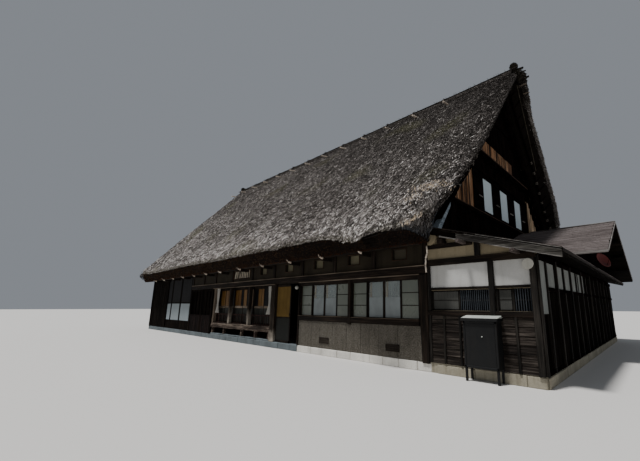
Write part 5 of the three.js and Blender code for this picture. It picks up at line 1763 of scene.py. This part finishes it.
for side, (eave_y, eave_z) in (("front", ANNEX_FRONT), ("back", ANNEX_BACK)):
    bm = bmesh.new()
    fall = (0, eave_y - ANNEX_RIDGE[0], eave_z - ANNEX_RIDGE[1])
    shingles(bm, (0.12, *ANNEX_RIDGE), (1, 0, 0), fall, ANNEX_EDGE - 0.13, Vector(fall).length - 0.01, 0.165,
             0.22,
             skip=lambda spot: spot.z < lean_top(spot.x) + 0.01 and spot.x < LEAN_EAVE_X)
    add_piece(f"annex_shingles_{side}", bm, shingle_across, "shingle")

def on_annex(spot):
    """Whether a shingle of the lean-to would lie in or under the annex."""
    inside = spot.x < LEAN_X + 0.02
    covered = spot.y > 4.2 and (annex_top(spot.y) > spot.z or inside)
    return covered and spot.x < LEAN_EAVE_X and (inside or spot.y < 4.7)


bm = bmesh.new()
run = (LEAN_EAVE_X - 0.12) * math.hypot(1, LEAN_FALL)
shingles(bm, (0.12, -0.22, lean_top(0.12)), (0, 1, 0), (1, 0, -LEAN_FALL), DEPTH + 0.56, run, 0.2, 0.3,
         on_annex)
add_piece("leanto_shingles", bm, shingle_wood, "shingle")

# %% Verge and eave boards
def fall_board(bm, x0, x1, y0, y1, top, deep):
    """A board along the fall of the lean-to roof; top and deep are measured from the roof's face."""
    for v in board(bm, (x0, y0, 0), (x1, y1, 1)):
        v.co.z = lean_top(v.co.x) + (top if v.co.z > 0.5 else top - deep)


bm = bmesh.new()
fall_board(bm, 1.08, LEAN_EAVE_X, -0.262, -0.232, -0.035, 0.15)
split_long(bm, 1, 16)
hewn(bm, 0.012, 0.35)
barge_wood = timber("barge_wood", "x", (0.006, 0.005, 0.0045), (0.038, 0.034, 0.030), (0.16, 0.15, 0.132),
                    0.92, 0.012)
add_piece("bargeboard", bm, barge_wood, "weathered_timber", edge=0.006)

bm = bmesh.new()
fall_board(bm, 0.42, LEAN_EAVE_X + 0.02, -0.30, -0.20, 0.03, 0.022)
fall_board(bm, 0.62, LEAN_EAVE_X + 0.01, -0.28, -0.20, -0.012, 0.020)
eave_z = lean_top(LEAN_EAVE_X)
board(bm, (LEAN_EAVE_X - 0.01, -0.25, eave_z - 0.05), (LEAN_EAVE_X + 0.02, DEPTH + 0.35, eave_z + 0.012))
hewn(bm, 0.008, 0.5)
add_piece("verge_boards", bm, smoked["x"], "dark_timber", edge=0.004)

bm = bmesh.new()
fall_board(bm, 1.6, LEAN_EAVE_X + 0.015, -0.304, -0.298, 0.016, 0.012)
fall_board(bm, 1.3, LEAN_EAVE_X, -0.284, -0.278, -0.022, 0.013)
fall_board(bm, 0.62, 1.12, -0.262, -0.24, -0.17, 0.03)
fall_board(bm, 1.9, LEAN_EAVE_X - 0.01, -0.268, -0.255, -0.165, 0.02)
hewn(bm, 0.006, 0.4)
verge_grey = timber_set("verge_grey", (0.04, 0.037, 0.034), (0.13, 0.122, 0.112), (0.28, 0.262, 0.24))
add_piece("verge_pale_edges", bm, verge_grey["x"], "weathered_timber")

purlin_wood = timber("purlin_wood", "y", (0.012, 0.009, 0.008), (0.045, 0.034, 0.03), (0.14, 0.11, 0.10))
boarded("purlin_ends", purlin_wood, "weathered_timber",
        [((x - 0.05, -0.45, lean_top(x) - 0.265), (x + 0.05, 0.0, lean_top(x) - 0.19)) for x in (1.19, 2.44)],
        (0.008, 0.2), edge=0.006)

bm = bmesh.new()
ridge_y, ridge_high = ANNEX_RIDGE
for start, (eave_y, eave_z) in ((2.4, ANNEX_FRONT), (0.12, ANNEX_BACK)):
    outer = eave_y + math.copysign(0.025, eave_y - ridge_y)
    board(bm, (start, min(eave_y, outer), eave_z - 0.07), (ANNEX_EDGE, max(eave_y, outer), eave_z + 0.015))
    for v in board(bm, (ANNEX_EDGE + 0.001, min(eave_y, ridge_y), 0),
                   (ANNEX_EDGE + 0.022, max(eave_y, ridge_y), 1)):
        v.co.z = annex_top(v.co.y) + (0.02 if v.co.z > 0.5 else -0.035)
board(bm, (0.6, ridge_y - 0.07, ridge_high + 0.02), (ANNEX_EDGE + 0.02, ridge_y + 0.07, ridge_high + 0.05))
hewn(bm, 0.006, 0.5)
annex_edge_wood = timber_set("annex_edge", (0.06, 0.05, 0.047), (0.18, 0.163, 0.152), (0.36, 0.34, 0.32))
add_piece("annex_edges", bm, annex_edge_wood["x"], "weathered_timber", edge=0.004)

# %% Annex gable and dish
dress(gable_dark["z"], "annex_walls")
low = lean_top(LEAN_X) + 0.02
boards = [((SIDE_X, 4.6, 3.05), (LEAN_X + 0.05, DEPTH - 0.2, 3.13))]
for at in places(4.55, DEPTH - 0.25, 0.24):
    top = min(annex_top(at), annex_top(at + 0.24)) - 0.09
    if top > low + 0.03:
        shift = 0.004 * (round(at * 10) % 2)
        boards.append(((SIDE_X, at + 0.004, low), (LEAN_X + 0.016 + shift, at + 0.236, top)))
for y in (5.2 + k * 1.35 for k in range(6)):
    boards.append(((SIDE_X, y, annex_top(y) - 0.2), (ANNEX_EDGE - 0.05, y + 0.09, annex_top(y) - 0.1)))
boarded("annex_gable_boards", gable_dark["z"], "dark_timber", boards, edge=0.003)

DISH = Vector((3.2, 7.1, 3.06))
DISH_RADIUS, DISH_SPREAD = 0.52, 0.6
bm = bmesh.new()
arc = [Vector((DISH_RADIUS * math.sin(a), 0, -DISH_RADIUS * math.cos(a)))
       for a in np.linspace(0, DISH_SPREAD, 9)]
inner = [p * 0.972 for p in reversed(arc)]
ring = [bm.verts.new(p) for p in arc + inner]
for a, b in zip(ring, ring[1:]):
    bm.edges.new((a, b))
bmesh.ops.spin(bm, geom=bm.verts[:] + bm.edges[:], cent=(0, 0, 0), axis=(0, 0, 1), angle=2 * math.pi,
               steps=36,
               use_merge=True)
bmesh.ops.remove_doubles(bm, verts=bm.verts, dist=1e-4)
bmesh.ops.translate(bm, verts=bm.verts, vec=(0, 0, DISH_RADIUS))
face = Matrix.Rotation(1.0, 4, "Z") @ Matrix.Rotation(math.radians(90 - 24), 4, "X")
bmesh.ops.transform(bm, matrix=Matrix.Translation(DISH) @ face, verts=bm.verts)
dish_paint = rendered("dish_paint", (0.15, 0.030, 0.026), (0.10, 0.022, 0.02), (0.03, 0.014, 0.012), grain=30,
                      roughness=0.55, depth=0.001, spots=0.7)
add_piece("dish_bowl", bm, dish_paint, "dish_red", stands_for=["receiver_dish"], smooth=True)
bm = bmesh.new()
pole(bm, (LEAN_X + 0.01, 7.12, 3.0), (3.19, 7.14, 3.06), 0.02, sides=8)
centre = Matrix.Translation(DISH) @ face
pole(bm, centre @ Vector((0, -0.24, 0.10)), centre @ Vector((0, -0.05, 0.34)), 0.009, sides=6)
pole(bm, centre @ Vector((0, -0.05, 0.31)), centre @ Vector((0, -0.05, 0.38)), 0.03, sides=10)
add_piece("dish_arm", bm, tarred_and_shaded["x"], "black_metal")

# %% [markdown]
# ## Cabinet
# A dark sheet-metal cupboard stands before the lean-to. Its door is a slightly inset panel with a turned edge,
# and its lid falls to the front.

# %% Cabinet
bm = bmesh.new()
x0, x1, y0 = 1.18, 1.95, -0.33
board(bm, (x0, y0 + 0.012, 0.07), (x1, -0.003, 1.085))
frame_round(bm, x0 + 0.045, x1 - 0.045, 0.12, 1.03, y0, y0 + 0.013, 0.044)
board(bm, (x0 + 0.05, y0 + 0.004, 0.125), (x1 - 0.05, y0 + 0.0115, 1.025))
for x in (x0, x1 - 0.06):
    for y in (y0, -0.063):
        board(bm, (x, y + 0.014, -0.2195), (x + 0.05, y + 0.06, 0.075))
black_paint = rendered("black_paint", (0.0075, 0.008, 0.0085), (0.005, 0.0054, 0.0058),
                       (0.015, 0.0135, 0.012),
                       grain=14, roughness=0.55, depth=0.0008, spots=0.6)
add_piece("cabinet_body", bm, black_paint, "black_metal", stands_for=["utility_cabinet"], edge=0.004)
bm = bmesh.new()
for v in board(bm, (x0 - 0.035, y0 - 0.035, 0), (x1 + 0.03, 0.009, 1)):
    top = 1.212 if v.co.y > -0.1 else 1.145
    v.co.z = top if v.co.z > 0.5 else 1.086
grey_paint = rendered("grey_paint", (0.52, 0.54, 0.50), (0.40, 0.42, 0.38), (0.15, 0.15, 0.13), grain=20,
                      roughness=0.5, depth=0.001)
add_piece("cabinet_lid", bm, grey_paint, "black_metal", edge=0.008)
bm = bmesh.new()
pole(bm, (1.62, y0 - 0.02, 0.75), (1.62, y0 + 0.006, 0.75), 0.013, sides=12)
add_piece("cabinet_knob", bm, grey_paint, "black_metal")
boarded("cabinet_lid_lip", black_paint, "black_metal",
        (((x0 - 0.035, y0 - 0.042, 1.08), (x1 + 0.03, y0 - 0.034, 1.146)),
         ((x1 + 0.031, y0 - 0.042, 1.08), (x1 + 0.036, 0.0, 1.146))), edge=0.002)

# %% [markdown]
# ## Back wall, base and floors
# The back repeats what the front has: a boarded dado, dark posts and two long rows of sliding windows. The base
# of the lean-to is worn concrete with stones.

# %% Back wall
dress(mud_wall, "back_wall")
BACK_GROUPS = {"near": -3.0, "far": -14.0}
BACK_BOARDS = ((-2.9, -0.05), (-13.9, -8.14), (-22.3, -19.14))
back_y = DEPTH + 0.0005
for key, near_x in BACK_GROUPS.items():
    window_group(f"back_window_{key}", near_x, 8, [f"back_window_group_{key}"], back=True)
boarded("back_posts", smoked["z"], "dark_timber",
        [((x, back_y, 0.0), (min(x + 0.14, 0.098), back_y + 0.03, 3.4))
         for x in np.arange(FAR_X + 0.02, 0.0, 1.796)],
        edge=0.008)
boarded("back_rails", smoked["x"], "dark_timber",
        [((FAR_X + 0.01, back_y, low), (0.095, back_y + 0.035, high))
         for low, high in ((0.93, 1.05), (2.14, 2.26), (2.43, 2.5), (3.38, 3.52))], (0.006, 0.6), edge=0.006)
joints = np.arange(0.09, FAR_X, -0.62)
boarded("back_dado", speckled_dado, "grey_board",
        [((far + 0.004, back_y, 0.0), (near - 0.004, back_y + 0.018, 0.93)) for near,
         far in zip(joints, joints[1:])],
        edge=0.003)
boards = [upright_boards(x0, x1, 1.05, 2.14, back_y, back_y + 0.014, 0.24, 0) for x0, x1 in BACK_BOARDS]
boarded("back_boards", smoked["z"], "dark_timber", sum(boards, []), edge=0.003)
boards = [((0.12, DEPTH - 0.029, 0.03), (LEAN_X - 0.15, DEPTH - 0.015, 0.1))]
for x in (0.13 + k * 0.21 for k in range(12)):
    boards.append(((x, DEPTH - 0.0295, 0.1), (x + 0.2, DEPTH - 0.012, 2.75)))
boarded("leanto_back_boards", side_boards, "grey_board", boards, edge=0.003)

# %% Far end wall, plinths and floors
concrete = rendered("concrete", (0.40, 0.365, 0.28), (0.29, 0.262, 0.20), (0.12, 0.105, 0.07), grain=22,
                    depth=0.01,
                    spots=0.6)
dress(concrete, "leanto_base")
dress(brown["x"], "west_floor", "east_floor", "attic_floor")

bm = bmesh.new()
at = 0.30
while at < 2.75:
    step = min(float(dice.uniform(0.8, 1.3)), 2.775 - at)
    top = float(dice.uniform(-0.03, 0.015))
    board(bm, (at + 0.004, -0.028, -0.2195), (at + step - 0.004, -0.0005, top))
    at += step
at = 0.02
while at < DEPTH - 0.1:
    step = min(float(dice.uniform(0.5, 1.1)), DEPTH - 0.01 - at)
    top = float(dice.uniform(-0.02, 0.015))
    board(bm, (SIDE_X, at + 0.004, -0.2195), (LEAN_X + 0.03, at + step - 0.004, top))
    at += step
add_piece("base_stones", bm, concrete, "stone", edge=0.01)
